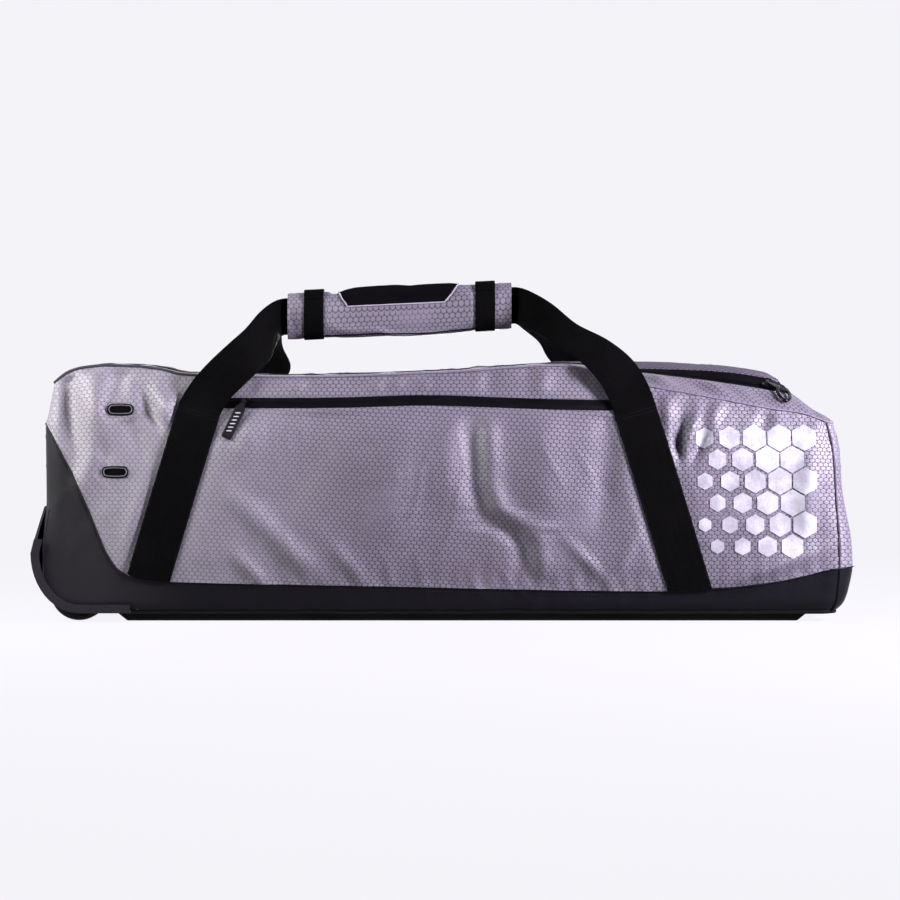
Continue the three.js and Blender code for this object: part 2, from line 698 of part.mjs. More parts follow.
function strapRows(inset) {
  const free = (row) => ({ points: bandPoints(row) });
  const gripStations = [GRIP_LEFT - STRAP_ENTRY, (GRIP_LEFT + GRIP_RIGHT) / 2, GRIP_RIGHT + STRAP_ENTRY];
  const gripRows = gripStations.map((x) => ({
    points: bandPoints({ x, y: -STRAP_MEET, z: gripZ(x), turn: 90 }),
    facing: MINUS_Y,
  }));
  return [
    ...legRows(LEFT_LEG, inset),
    ...LEFT_RISE.map(free),
    ...gripRows,
    ...RIGHT_RISE.map(free),
    ...legRows(RIGHT_LEG, inset).reverse(),
  ];
}

function buildStraps() {
  const pocketLayer = POCKET_GAP + POCKET_THICKNESS;
  addPiece("strap_front", "webbing", ribbon(strapRows(-pocketLayer - STRAP_CLEARANCE), WEBBING, -1));
  const mirror = new THREE.Vector3(1, -1, 1);
  const mirrored = strapRows(-STRAP_CLEARANCE).map((row) => ({
    points: row.points.map((point) => point.multiply(mirror)),
    facing: row.facing && PLUS_Y,
  }));
  addPiece("strap_back", "webbing", ribbon(mirrored, WEBBING, 1));
}

// Section of the grip: a rounded, tall ring, grown by a layer
function gripSection(angle, x, grow) {
  const square = 2.6;
  const round = (value) => Math.sign(value) * Math.abs(value) ** (2 / square);
  return new THREE.Vector3(
    x,
    -round(Math.cos(angle)) * (GRIP_HALF_DEPTH + grow),
    gripZ(x) + round(Math.sin(angle)) * (GRIP_HALF_HEIGHT + grow),
  );
}

function gripSlot(angle, x) {
  const far = Math.max(Math.abs(Math.cos(angle)), Math.abs(Math.sin(angle)));
  return new THREE.Vector3(
    x,
    (-Math.cos(angle) / far) * GRIP_SLOT_DEPTH,
    gripZ(x) + (Math.sin(angle) / far) * GRIP_SLOT_HEIGHT,
  );
}

function buildGrip() {
  const angleOf = (i) => (2 * Math.PI * i) / GRIP_SIDES;
  const xOf = (j) => GRIP_LEFT + ((GRIP_RIGHT - GRIP_LEFT) * j) / GRIP_SPANS;
  const wrap = sheet(
    GRIP_SIDES,
    GRIP_SPANS + 1,
    (i, j) => gripSection(angleOf(i), xOf(j), 0),
    (i, j) => gripSlot(angleOf(i), xOf(j)),
    true,
  );
  addPiece("grip_wrap", "grey_fabric", wrap);
  for (const band of GRIP_BANDS) {
    const edgeX = (j) => band.x + (j - 0.5) * GRIP_BAND_WIDTH;
    const ring = sheet(
      GRIP_SIDES,
      2,
      (i, j) => gripSection(angleOf(i), edgeX(j), LAYER_GAP + GRIP_BAND),
      (i, j) => gripSection(angleOf(i), edgeX(j), LAYER_GAP),
      true,
    );
    addPiece(band.name, "webbing", ring);
  }
  const first = 1;
  const last = GRIP_SIDES / 2 - 1;
  const steps = 6;
  const meshPlace = (i, j, grow) => {
    const angle = angleOf(first + i);
    const height = gripSection(angle, 0, 0).z - gripZ(0);
    const t = THREE.MathUtils.clamp((height - GRIP_MESH.low) / (GRIP_HALF_HEIGHT - GRIP_MESH.low), 0, 1);
    const left = THREE.MathUtils.lerp(GRIP_MESH.lowLeft, GRIP_MESH.topLeft, t);
    const right = THREE.MathUtils.lerp(GRIP_MESH.lowRight, GRIP_MESH.topRight, t);
    return gripSection(angle, left + ((right - left) * j) / steps, grow);
  };
  const pad = sheet(
    last - first + 1,
    steps + 1,
    (i, j) => meshPlace(i, j, LAYER_GAP + GRIP_MESH.thickness),
    (i, j) => meshPlace(i, j, LAYER_GAP),
  );
  addPiece("grip_mesh", "padded_mesh", pad);
}

// Outline of the moulded corner seen from the front, drawn in by a wall and closed above and to the right
function guardOutline(inset, top, right) {
  const shape = new THREE.Shape();
  const width = GUARD_TURN_X - GUARD_LEFT - inset;
  const height = GUARD_TURN_Z - GUARD_BOTTOM - inset;
  const lean = (GUARD_LIP.x - GUARD_TOP.x) / (GUARD_LIP.z - GUARD_TOP.z);
  shape.moveTo(right, GUARD_BOTTOM + inset);
  shape.lineTo(GUARD_TURN_X, GUARD_BOTTOM + inset);
  shape.absellipse(GUARD_TURN_X, GUARD_TURN_Z, width, height, -Math.PI / 2, -Math.PI, true);
  shape.lineTo(GUARD_LIP.x + inset, GUARD_LIP.z);
  shape.lineTo(GUARD_TOP.x + inset + (top - GUARD_TOP.z) * lean, top);
  shape.lineTo(right, top);
  return shape;
}

function guardSolid(inset, halfY, top, right) {
  return toSolid(prismAlongY(guardOutline(inset, top, right), -halfY, halfY, 6));
}

function buildWheelCorner() {
  const outside = GUARD_INSIDE_Y + MOULDED;
  const past = 10;
  const top = GUARD_TOP.z;
  const block = guardSolid(0, outside, top, GUARD_RIGHT);
  const shell = guardSolid(0, GUARD_INSIDE_Y, top, GUARD_RIGHT).subtract(
    guardSolid(MOULDED, GUARD_INSIDE_Y + past, top + past, GUARD_RIGHT + past),
  );
  // The two cheeks are bands along the outer edge, from the base up to the lip
  const cheeks = guardSolid(0, outside, GUARD_LIP.z, GUARD_RIGHT)
    .subtract(guardSolid(GUARD_BAND, outside + past, top + past, GUARD_RIGHT + past))
    .subtract(guardSolid(MOULDED, GUARD_INSIDE_Y, top + past, GUARD_RIGHT + past));
  let housing = shell.add(cheeks);
  // The end plate narrows towards its top, so that it stays on the flat of the end wall
  for (const side of [-1, 1]) {
    const corner = new THREE.Shape([
      new THREE.Vector2(side * (outside + past), GUARD_LIP.z),
      new THREE.Vector2(side * GUARD_INSIDE_Y, GUARD_LIP.z),
      new THREE.Vector2(side * GUARD_TOP_HALF, top + past),
      new THREE.Vector2(side * (outside + past), top + past),
    ]);
    const wedge = new THREE.ExtrudeGeometry(corner, { depth: 200, bevelEnabled: false });
    wedge.applyMatrix4(new THREE.Matrix4().makeBasis(PLUS_Y, PLUS_Z, PLUS_X));
    housing = housing.subtract(toSolid(wedge.translate(GUARD_LEFT - past, 0, 0)));
  }
  const turned = (radius, fromY, toY, sides) =>
    toSolid(cylinderAlongY(radius, fromY, toY, WHEEL_X, WHEEL_RADIUS, sides));
  for (const y of [-WHEEL_Y, WHEEL_Y]) {
    const reach = WELL_HALF_WIDTH + MOULDED;
    const drum = turned(WELL_RADIUS + MOULDED, y - reach, y + reach, 20);
    housing = housing.add(drum.intersect(block));
    housing = housing.subtract(turned(WELL_RADIUS, y - WELL_HALF_WIDTH, y + WELL_HALF_WIDTH, 20));
    housing = housing.add(turned(AXLE_RADIUS, y - reach, y + reach, 12));
  }
  addPiece("wheel_housing", "moulded_plastic", toGeometry(housing));
  for (const [side, y] of [["front", -WHEEL_Y], ["back", WHEEL_Y]]) buildWheel(side, y);
}

// One wheel: a tyre with rounded shoulders on a hub with a dished face, both turned about the axle
function buildWheel(side, y) {
  const holder = new THREE.Group();
  holder.position.set(WHEEL_X, y, WHEEL_RADIUS);
  bag.add(holder);
  const half = WHEEL_WIDTH / 2;
  const tyreProfile = [
    [HUB_RADIUS + 0.3, -half + 3],
    [HUB_RADIUS + 2, -half + 1],
    [WHEEL_RADIUS - 5, -half],
    [WHEEL_RADIUS, -half + 5],
    [WHEEL_RADIUS, half - 5],
    [WHEEL_RADIUS - 5, half],
    [HUB_RADIUS + 2, half - 1],
    [HUB_RADIUS + 0.3, half - 3],
    [HUB_RADIUS + 0.3, -half + 3],
  ];
  const bore = AXLE_RADIUS + 0.4;
  const hubProfile = [
    [bore, -half - 1],
    [bore + 4, -half - 1],
    [HUB_RADIUS - 6, -half + 5],
    [HUB_RADIUS, -half + 2],
    [HUB_RADIUS, half - 2],
    [HUB_RADIUS - 6, half - 5],
    [bore + 4, half + 1],
    [bore, half + 1],
    [bore, -half - 1],
  ];
  const turned = (profile) => new THREE.LatheGeometry(profile.map(([r, h]) => new THREE.Vector2(r, h)), 20);
  addPiece(`wheel_tyre_${side}`, "wheel_rubber", turned(tyreProfile), holder);
  addPiece(`wheel_hub_${side}`, "hub_plastic", turned(hubProfile), holder);
}

function buildPocketZip() {
  const stations = FRONT.filter(({ x }) => x > LEFT_LEG.headX - 12 && x < RIGHT_LEG.headX + 12);
  const inside = -LAYER_GAP;
  const levels = [-0.5, -0.14, 0.14, 0.5];
  const rise = [0, COIL_RISE, COIL_RISE, 0];
  const height = (j) => POCKET_ZIP_Z + levels[j] * POCKET_ZIP_HEIGHT;
  const point = (i, j, inset) => frontPoint(stations[i].x, height(j), inset);
  const strip = sheet(
    stations.length,
    levels.length,
    (i, j) => point(i, j, inside - ZIP_THICKNESS - rise[j]),
    (i, j) => point(i, j, inside),
  );
  addPiece("pocket_zip", "zip_tape", strip);
}

function buildVents() {
  for (const vent of VENTS) {
    const holder = ventPlace(vent);
    const outer = toSolid(prismAlongY(stadium(VENT.length, VENT.height, 0, 0), -VENT.rise, -VENT.seat, 4));
    const clear = 2 * VENT.border;
    const opening = stadium(VENT.length - clear, VENT.height - clear, 0, 0);
    const neck = stadium(VENT.length - VENT.border - 1, VENT.height - VENT.border - 1, 0, 0);
    const sleeve = toSolid(prismAlongY(neck, -(VENT.rise + VENT.seat) / 2, FABRIC + 0.6, 4));
    const cut = toSolid(prismAlongY(opening, -5, 5, 4));
    const ring = toGeometry(outer.add(sleeve).subtract(cut));
    addPiece(`vent_ring_${vent.name}`, "moulded_plastic", ring, holder);
    const fill = stadium(VENT.length - clear - 0.6, VENT.height - clear - 0.6, 0, 0);
    addPiece(`vent_mesh_${vent.name}`, "padded_mesh", prismAlongY(fill, -0.4, 0.6, 4), holder);
  }
}

// Zip slider in its own frame: the zip runs along X, Z points away from it, and the pin is turned about Z
function sliderGeometry(pinTurn) {
  const { length, width, height, ear, earGap, pin, pinRise } = SLIDER;
  const outline = new THREE.Shape();
  outline.moveTo(-length / 2, -width * 0.3);
  outline.lineTo(-length * 0.1, -width / 2);
  outline.lineTo(length / 2, -width / 2);
  outline.lineTo(length / 2, width / 2);
  outline.lineTo(-length * 0.1, width / 2);
  outline.lineTo(-length / 2, width * 0.3);
  let solid = toSolid(new THREE.ExtrudeGeometry(outline, { depth: height, bevelEnabled: false }));
  const earTop = pinRise + pin + 0.6;
  const earFoot = height / 2;
  const earSpan = earGap + 2 * ear;
  const bridge = new THREE.BoxGeometry(4, earSpan, height / 2);
  bridge.translate(0, 0, height * 0.75);
  const bar = new THREE.CylinderGeometry(pin, pin, earSpan, 8);
  bar.translate(0, 0, pinRise);
  const ears = [-1, 1].map((side) => {
    const plate = new THREE.BoxGeometry(4, ear, earTop - earFoot);
    return plate.translate(0, (side * (earGap + ear)) / 2, (earTop + earFoot) / 2);
  });
  for (const piece of [bridge, bar, ...ears]) solid = solid.add(toSolid(piece.rotateZ(pinTurn)));
  return toGeometry(solid);
}

// Pull tab in the slider's frame about its pin: an eye round the pin and a flat tab along +X
function tabGeometry(tab) {
  const eye = SLIDER.pin + 0.35;
  const rim = eye + 0.9;
  const eyeWidth = SLIDER.earGap - 0.8;
  const neck = 5;
  const hole = new THREE.CylinderGeometry(eye, eye, eyeWidth + 2, 10);
  const collar = toSolid(new THREE.CylinderGeometry(rim, rim, eyeWidth, 10));
  const bridge = new THREE.BoxGeometry(neck + 1, eyeWidth, tab.thickness);
  bridge.translate((neck + 1) / 2, 0, 0);
  const outline = new THREE.Shape();
  const half = tab.width / 2;
  const corner = 2.4;
  outline.moveTo(neck, -eyeWidth / 2);
  outline.lineTo(neck + 4, -half);
  outline.absarc(tab.length - corner, -half + corner, corner, -Math.PI / 2, 0);
  outline.absarc(tab.length - corner, half - corner, corner, 0, Math.PI / 2);
  outline.lineTo(neck + 4, half);
  outline.lineTo(neck, eyeWidth / 2);
  const press = { depth: tab.thickness, bevelEnabled: false, curveSegments: 3 };
  const flat = new THREE.ExtrudeGeometry(outline, press);
  flat.translate(0, 0, -tab.thickness / 2);
  return toGeometry(collar.add(toSolid(bridge)).add(toSolid(flat)).subtract(toSolid(hole)));
}

// A slider with its pull, in a frame whose X runs along the zip and whose Z points away from it
function buildSlider(name, place, frame, tab, tabFinish) {
  const turn = THREE.MathUtils.degToRad(tab.turn);
  const holder = new THREE.Group();
  holder.position.copy(place);
  holder.quaternion.setFromRotationMatrix(frame);
  bag.add(holder);
  addPiece(`${name}_slider`, "gunmetal", sliderGeometry(turn), holder);
  const pivot = new THREE.Group();
  pivot.position.z = SLIDER.pinRise;
  pivot.rotation.z = turn;
  holder.add(pivot);
  const pull = addPiece(`${name}_pull`, tabFinish, tabGeometry(tab), pivot);
  pull.rotation.y = THREE.MathUtils.degToRad(tab.drop);
}

function buildSliders() {
  const lift = LAYER_GAP + ZIP_THICKNESS + COIL_RISE + 0.3;
  const seat = frontPoint(POCKET_SLIDER_X, POCKET_ZIP_Z, -lift);
  const facing = frontPoint(POCKET_SLIDER_X, POCKET_ZIP_Z, -lift - 1).sub(seat);
  const up = new THREE.Vector3().crossVectors(facing, PLUS_X).normalize();
  buildSlider("pocket", seat, new THREE.Matrix4().makeBasis(PLUS_X, up, facing), POCKET_TAB, "pull_rubber");

  const runY = -(LID_HALF_DEPTH + ZIP_WIDTH / 2);
  const half = SLIDER.length / 2;
  const onTop = (dx, dy) => topPoint(new THREE.Vector2(LID_SLIDER_X + dx, runY + dy), 0);
  const along = onTop(half, 0).sub(onTop(-half, 0)).normalize();
  const away = new THREE.Vector3().crossVectors(along, onTop(0, half).sub(onTop(0, -half))).normalize();
  const lidFrame = new THREE.Matrix4().makeBasis(along, new THREE.Vector3().crossVectors(away, along), away);
  const lidSeat = onTop(0, 0).addScaledVector(away, lift + TOP_GAP - LAYER_GAP);
  buildSlider("lid", lidSeat, lidFrame, LID_TAB, "gunmetal");
}

// Plain webbing handle across the far end, its feet flat on the wall and its middle standing off
function buildEndHandle() {
  const { z, width, reach, stand, foot, seat, steps } = END_HANDLE;
  const levels = [-0.5, 0, 0.5].map((share) => z + share * width);
  const wallX = (height) => HALF_LENGTH + tableValue(FAR_END_LEAN, "z", "out", height);
  const rows = [];
  for (let k = 0; k <= steps; k++) {
    const y = -reach + (2 * reach * k) / steps;
    const t = THREE.MathUtils.clamp((reach - Math.abs(y) - foot) / (reach - foot), 0, 1);
    const off = seat + stand * THREE.MathUtils.smoothstep(t, 0, 0.75);
    rows.push({ points: levels.map((height) => new THREE.Vector3(wallX(height) + off, y, height)) });
  }
  addPiece("end_handle", "webbing", ribbon(rows, WEBBING, 1));
}

buildWalls();
buildBase();
buildTop();
buildStraps();
buildGrip();
buildWheelCorner();
buildPocketZip();
buildVents();
buildSliders();
buildEndHandle();

export default bag;
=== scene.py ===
# The looks of a wheeled equipment bag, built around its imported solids. Sizes are millimetres in the
# part's own frame (+X to the end without wheels, the front towards -Y) and become metres in each mesh.
import json
import math
from collections import namedtuple

import bpy
import numpy as np
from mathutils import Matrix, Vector


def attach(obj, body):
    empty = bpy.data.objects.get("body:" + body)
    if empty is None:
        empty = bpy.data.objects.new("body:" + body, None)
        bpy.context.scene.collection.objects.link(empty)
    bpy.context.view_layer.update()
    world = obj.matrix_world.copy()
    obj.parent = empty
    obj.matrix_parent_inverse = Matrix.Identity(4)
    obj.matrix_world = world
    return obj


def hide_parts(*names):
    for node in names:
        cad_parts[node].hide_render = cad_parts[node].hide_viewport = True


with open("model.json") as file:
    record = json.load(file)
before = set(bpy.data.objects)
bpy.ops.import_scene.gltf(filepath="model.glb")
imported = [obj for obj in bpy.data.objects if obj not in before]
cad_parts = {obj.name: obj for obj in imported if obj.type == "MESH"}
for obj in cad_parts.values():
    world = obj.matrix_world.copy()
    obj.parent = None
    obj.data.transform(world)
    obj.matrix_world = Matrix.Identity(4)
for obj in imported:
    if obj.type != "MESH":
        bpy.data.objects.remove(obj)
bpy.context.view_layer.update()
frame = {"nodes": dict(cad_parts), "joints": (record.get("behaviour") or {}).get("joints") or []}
MM = 0.001


def table(columns, rows):
    """A short table as named columns, one tuple for each row."""
    return dict(zip(columns.split(), np.array(rows, float).T))


def mirrored(rows):
    """Rows with a first column that runs up to zero, then their mirror images on its other side."""
    return rows + [(-place, *rest) for place, *rest in rows[::-1] if place]


# Body sizes
HALF_LENGTH = 517
HALF_DEPTH = 176
CORNER_RADIUS = 26
CORNER_FILL = 0.8
BASE_Z = 10
BASE_ROUND = 18
BASE_ROUND_TURN = math.pi / 3
BASE_EDGE_GAP = 0.7
BASE_THICKNESS = 2.2
BASE_CORNER = 20
BASE_GUARD_GAP = 2
BASE_UNEVEN = 0.12
TOP_LEAN = 16
TOP_LEAN_START = 0.66
SIDE_SWELL = 9
END_EASE = 120
FABRIC = 1.6
COATED = 2.0
SEAM_GAP = 0.5
TOP_GAP = 0.8
LAYER_GAP = 0.4

# Seams: piping, stitch rows, the height where the wheel end's corner seams stop, and the base's binding
SKIRT_PIPING_RADIUS = 1.1
PIPING_RADIUS = 1.3
PIPING_ROLL = 0.5
PIPING_ROLL_END = (-345, -300)
SEAM_STITCH_DROP = 5.0
WHEEL_SEAM_TOP = 146
BINDING_Z = 13.5
BINDING_RADIUS = 2.6
BINDING_OVERLAP = 6

TOP_LINE = table("x seam ridge", [
    (-540, 298, 299), (-511, 309, 311), (-488, 325, 327), (-468, 331, 333), (-440, 333.5, 335.5),
    (-400, 332.5, 334.5), (-370, 329, 331), (-340, 322, 325), (-300, 320, 324),
    (-200, 318, 322), (0, 324, 328), (150, 333, 338), (212, 322, 340), (258, 309, 340),
    (340, 294, 336), (430, 277, 326), (470, 271, 300), (505, 259, 272), (540, 252, 258),
])
SKIRT_LINE = table("x seam", [
    (-520, 264), (-476, 183), (-452, 128), (-437, 92), (-421, 69), (-402, 58),
    (-350, 52), (-150, 48), (290, 40), (350, 43), (440, 53), (520, 72),
])
FAR_END_LEAN = table("z out", [
    (10, 2), (40, 14), (75, 20), (108, 18), (140, 12), (175, 6), (225, 3), (262, -7),
])
WHEEL_END_LEAN = table("z out", [
    (10, 8.4), (96, 8.4), (122, 5.5), (150, 1), (255, 2), (273, -2), (299, -7), (316, -11), (335, -28),
])

# Soft folds: middle, direction from level in degrees, half length, half width and height outwards
FRONT_FOLDS = table("x z turn reach width depth", [
    # Wall beside the vents
    (-485, 280, 96, 54, 13, -5), (-450, 278, 98, 60, 16, 6), (-420, 318, 70, 30, 12, -3),
    (-354, 267, 114, 38, 10, 5), (-382, 280, 114, 36, 9, -4), (-338, 296, 39, 26, 7, 4),
    (-398, 240, 112, 34, 11, -3), (-440, 226, 104, 34, 10, -3), (-462, 190, 75, 40, 13, 3),
    (-392, 140, 72, 60, 16, 3),
    # Left half of the pocket
    (-216, 111, 137, 78, 15, 4), (-246, 66, 135, 34, 10, 3), (-122, 76, 130, 38, 10, 2.4),
    (-190, 190, 60, 90, 30, -4), (-70, 170, 75, 80, 34, 4), (-250, 240, 62, 40, 16, 3),
    # Right half of the pocket
    (4, 206, 88, 56, 20, 3), (134, 190, 92, 78, 30, 4), (188, 79, 135, 36, 8, 2),
    (236, 84, 62, 36, 9, 2), (212, 190, 86, 66, 20, -4),
    # Above the pocket's zip
    (-189, 308, 50, 20, 8, 2), (-88, 305, 75, 22, 9, 2), (-58, 314, 60, 18, 8, 2),
    (-22, 306, 70, 18, 8, 1.5), (60, 308, 80, 22, 12, -1.2), (130, 312, 70, 24, 12, 1.4),
    # Wall beside the far end
    (306, 232, 82, 34, 8, -6), (336, 232, 62, 22, 7, -5), (288, 258, 78, 34, 10, 4),
    (322, 244, 70, 26, 7, 4), (352, 262, 66, 24, 8, 3), (420, 262, 75, 16, 10, -3),
    (430, 72, 20, 60, 12, 4), (475, 170, 86, 60, 14, 4),
])
BACK_FOLDS = table("x z turn reach width depth", [
    (-430, 250, 75, 60, 18, -4), (-395, 190, 100, 70, 16, 3), (-200, 140, 55, 90, 24, -4),
    (-120, 210, 80, 80, 20, 4), (-10, 120, 110, 90, 26, -4), (90, 200, 70, 90, 22, 4),
    (180, 110, 50, 80, 22, -4), (400, 180, 80, 70, 20, -4), (450, 110, 40, 60, 18, 3),
])
FOLD_GAIN = 1.9

# Course of the long fold that sweeps down the pocket, its sizes and the heights where it fades
SWEEP_COURSE = table("z x", [
    (50, 120), (98, 115), (117, 103), (133, 80), (150, 62), (190, 52), (235, 50), (275, 49),
])
SWEEP_WIDTH = 12
SWEEP_DEPTH = 5.4
SWEEP_FOOT = (48, 84)
SWEEP_HEAD = (236, 276)

# Fine creases: direction from level in degrees, distance apart, height and seed
CREASES = table("turn pitch height seed", [
    (58, 74, 1.5, 81), (112, 61, 1.2, 82), (35, 47, 0.8, 83), (80, 33, 0.5, 84),
])
CREASE_SWAY = 14
CRUMPLE_GAIN = 0.4
LID_CRUMPLE = 0.8

# Lid, its zip and the strip round it
LID_LEFT = -452
LID_RIGHT = 450
LID_HALF_DEPTH = 104
LID_CORNER = 24
LID_THICKNESS = 2.4
LID_CROWN = 0.8
LID_HEM = 0.5
LID_STAND = 9.0
LID_STAND_RISE = (220, 400)
LID_STAND_FALL = (430, 452)
LID_STAND_LOSS = 0.4
GUSSET_GATHER = 1.5
GUSSET_FAR_GATHER = 2.5
GUSSET_FAR = (200, 330)
GUSSET_FREE = (90, 118)
ZIP_WIDTH = 16
ZIP_THICKNESS = 1.4
COIL_RISE = 1.2

# Front pocket between the straps
POCKET_TOP = 277
POCKET_GAP = 0.7
POCKET_GRAIN = 0.065
POCKET_THICKNESS = 1.4
POCKET_FULLNESS = 2.2
POCKET_EASE = 40
POCKET_HEM = 0.8
POCKET_HEM_FOOT = (9, 7)
POCKET_HEM_HEAD = (1.2, 0)
POCKET_STITCH_DROP = 4.0
POCKET_STITCH_LIFT = 0.7
POCKET_LEFT_FOOT = 48
POCKET_RIGHT_FOOT = 40
POCKET_ZIP_Z = 284.5
POCKET_ZIP_HEIGHT = 13
POCKET_ZIP_OVERLAP = 8
POCKET_ZIP_STITCH_GAP = 2.2
ZipSway = namedtuple("ZipSway", "crest crest_x reach drop drop_start drop_end")
ZIP_SWAY = ZipSway(3.5, -22, 85, 3.0, 40, 240)

# Carry straps: each leg's line on the wall, then its free rise to the grip with turn and lean in degrees
WEBBING_WIDTH = 50
WEBBING = 2.0
LEG_SPREAD = 1.12
STRAP_CLEARANCE = 0.8
Leg = namedtuple("Leg", "foot_x head_x foot_z head_z")
LEFT_LEG = Leg(-386, -315, 40, 276)
RIGHT_LEG = Leg(325, 250, 30, 276)
LEFT_RISE = table("x y z turn lean", [
    (-301, -178, 300, 24, 0), (-282, -177, 321, 36, 0), (-261, -168, 342, 44, 0), (-245, -120, 363, 52, 0),
    (-236, -66, 385, 66, 0), (-228, -26, 399, 80, 0), (-223, -7, 404, 88, 0),
])
RIGHT_RISE = table("x y z turn lean", [
    (105, -7, 420, 93, 0), (115, -26, 415, 99, 8), (139, -62, 399, 112, 24), (166, -112, 374, 127, 36),
    (200, -160, 351, 140, 26), (225, -174, 327, 152, 8), (240, -177, 303, 160, 0),
])
STRAP_MEET = 0.4
STRAP_ENTRY = 5
STRAP_GRIP_LEAD = 60
STRAP_LEG_ROWS = 56
STRAP_GRIP_ROWS = 24
STRAP_CURVE_STEPS = 7
# Rows of a rise over which the strap lets go of the wall's curve
STRAP_SETTLE = 12
BACK_DRAW = 14
BACK_DRAW_START = (285, 335)
BACK_DRAW_END = (352, 396)

# Padded grip
GRIP_LEFT = -212
GRIP_RIGHT = 94
GRIP_Z_LEFT = 406
GRIP_Z_RIGHT = 421
GRIP_HALF_HEIGHT = 33.5
GRIP_HALF_DEPTH = 15
GRIP_SQUARENESS = 2.6
GRIP_SLOT_HEIGHT = 25.5
GRIP_SLOT_DEPTH = 2.75
GripMesh = namedtuple("GripMesh", "low low_left low_right top_left top_right")
GRIP_MESH = GripMesh(6, -126, -2, -140, 18)
GRIP_BAND_WIDTH = 27
GRIP_BAND = 2.0
GRIP_BANDS = {"grip_band_left": -176, "grip_band_right": 58}
GRIP_BAND_GAP = 0.3
BAND_HOLD = (0.53, 0.85)
FLAP_TURN = (38, 142)
FLAP_ROWS = 40
FLAP_UNDER = 0.1
FLAP_OVER = 1.9
GRIP_SIDES = 72
GRIP_MEAN_RADIUS = 24
GRIP_ROWS = 124
WRAP_SLACK = 2.2
WRAP_REACH = 4.0
WRAP_EASE = 3
WRAP_FRAMES = 26
WRAP_EDGE_TURN = -64
WRAP_EDGE_INSET = 15
WRAP_EDGE_RADIUS = 0.9
WRAP_SEAM_TURN = 0.16
MESH_ROWS = 44
MESH_COLUMNS = 70
MESH_RIM = 1.5
MESH_PUFF = 1.3
MESH_RIM_ROWS = 5
MESH_PIPING_RADIUS = 0.95

# Moulded wheel corner
WHEEL_X = -477
WHEEL_RADIUS = 38
WHEEL_Y = 132
MOULDED = 3.0
GUARD_LEFT = -533.5
GUARD_TURN_X = -470
GUARD_TURN_Z = 90
GUARD_BOTTOM = 12
GUARD_RIGHT = -405
GUARD_TOP_Z = 150
GUARD_FADE = 30
GUARD_BLEND = 40
SKIRT_CLEARANCE = 1.5

# Runners, vents, end handle
Skid = namedtuple("Skid", "left right y height slope")
SKID = Skid(-424, 476, 138, 9.5, 12)
Vent = namedtuple("Vent", "length height border")
VENT = Vent(35, 16, 4)
VENT_PLACES = {"upper": (-418, 276), "lower": (-424, 195)}
EndHandle = namedtuple("EndHandle", "z width reach stand foot seat")
END_HANDLE = EndHandle(200, 38, 105, 14.2, 34, 0.9)
END_HANDLE_ROWS = 90
END_HANDLE_BOX = (1, 12)

# Where a wall is held and where it is free: shares of webbing, vent and zip, then distances from seams
STRAP_HOLD = (0.57, 0.9)
VENT_HOLD = (0.55, 0.8)
VENT_SQUASH = 1.5
ZIP_HOLD = (0.65, 1.5)
POCKET_EDGE = 25
TOP_HOLD = (1, 12)
BACK_TOP_HOLD = (2, 24)


# Surfaces shared with the solids

def smoothstep(value, low, high):
    t = np.clip((value - low) / (high - low), 0, 1)
    return t * t * (3 - 2 * t)


def joined(*columns):
    """Arrays spread over each other's shapes and put side by side along a last axis."""
    return np.stack(np.broadcast_arrays(*columns), -1)


def unit(vectors):
    return vectors / np.linalg.norm(vectors, axis=-1, keepdims=True)


def eased(rows, key, column, at):
    """A table's column at places along its key column, eased between the rows."""
    xs, ys = rows[key], rows[column]
    at = np.clip(at, xs[0], xs[-1])
    steps = np.diff(xs)
    slopes = np.diff(ys) / steps
    product = slopes[:-1] * slopes[1:]
    total = np.where(product > 0, slopes[:-1] + slopes[1:], 1)
    inner = np.where(product > 0, 2 * product / total, 0)
    tangents = np.concatenate([slopes[:1], inner, slopes[-1:]])
    i = np.clip(np.searchsorted(xs, at, side="right") - 1, 0, len(steps) - 1)
    t = (at - xs[i]) / steps[i]
    rise = t * t * (3 - 2 * t)
    bend = steps[i] * (t * (1 - t) ** 2 * tangents[i] - t * t * (1 - t) * tangents[i + 1])
    return ys[i] + rise * (ys[i + 1] - ys[i]) + bend


def seam_top(x):
    return eased(TOP_LINE, "x", "seam", x)


def ridge_top(x):
    return eased(TOP_LINE, "x", "ridge", x)


def skirt_top(x):
    return eased(SKIRT_LINE, "x", "seam", x)


# Plan outline: columns of samples round the bag, each with its place, outward direction and side
FRONT, FAR, BACK, WHEEL = range(4)
Plan = namedtuple("Plan", "x y nx ny side")
CORNER_STEPS = 7


def plan_side(side, along, outward, half_span, half_out, spans):
    """Samples of one side of the plan, with half of the rounded corner at each of its ends."""
    straight = half_span - CORNER_RADIUS
    turn_in = np.linspace(-math.pi / 4, 0, CORNER_STEPS, endpoint=False)
    turn = np.concatenate([turn_in, np.zeros(spans + 1), -turn_in[::-1]])
    ends = np.full(CORNER_STEPS, straight)
    run = np.concatenate([-ends, np.linspace(-straight, straight, spans + 1), ends])
    normal = np.outer(np.cos(turn), outward) + np.outer(np.sin(turn), along)
    place = np.outer(run, along) + np.array(outward) * (half_out - CORNER_RADIUS) + normal * CORNER_RADIUS
    sides = np.full((len(turn), 1), side)
    return Plan(place[:, :1], place[:, 1:], normal[:, :1], normal[:, 1:], sides)


PLAN = {
    FRONT: plan_side(FRONT, (1, 0), (0, -1), HALF_LENGTH, HALF_DEPTH, 260),
    FAR: plan_side(FAR, (0, 1), (1, 0), HALF_DEPTH, HALF_LENGTH, 70),
    BACK: plan_side(BACK, (-1, 0), (0, 1), HALF_LENGTH, HALF_DEPTH, 200),
    WHEEL: plan_side(WHEEL, (0, -1), (-1, 0), HALF_DEPTH, HALF_LENGTH, 70),
}
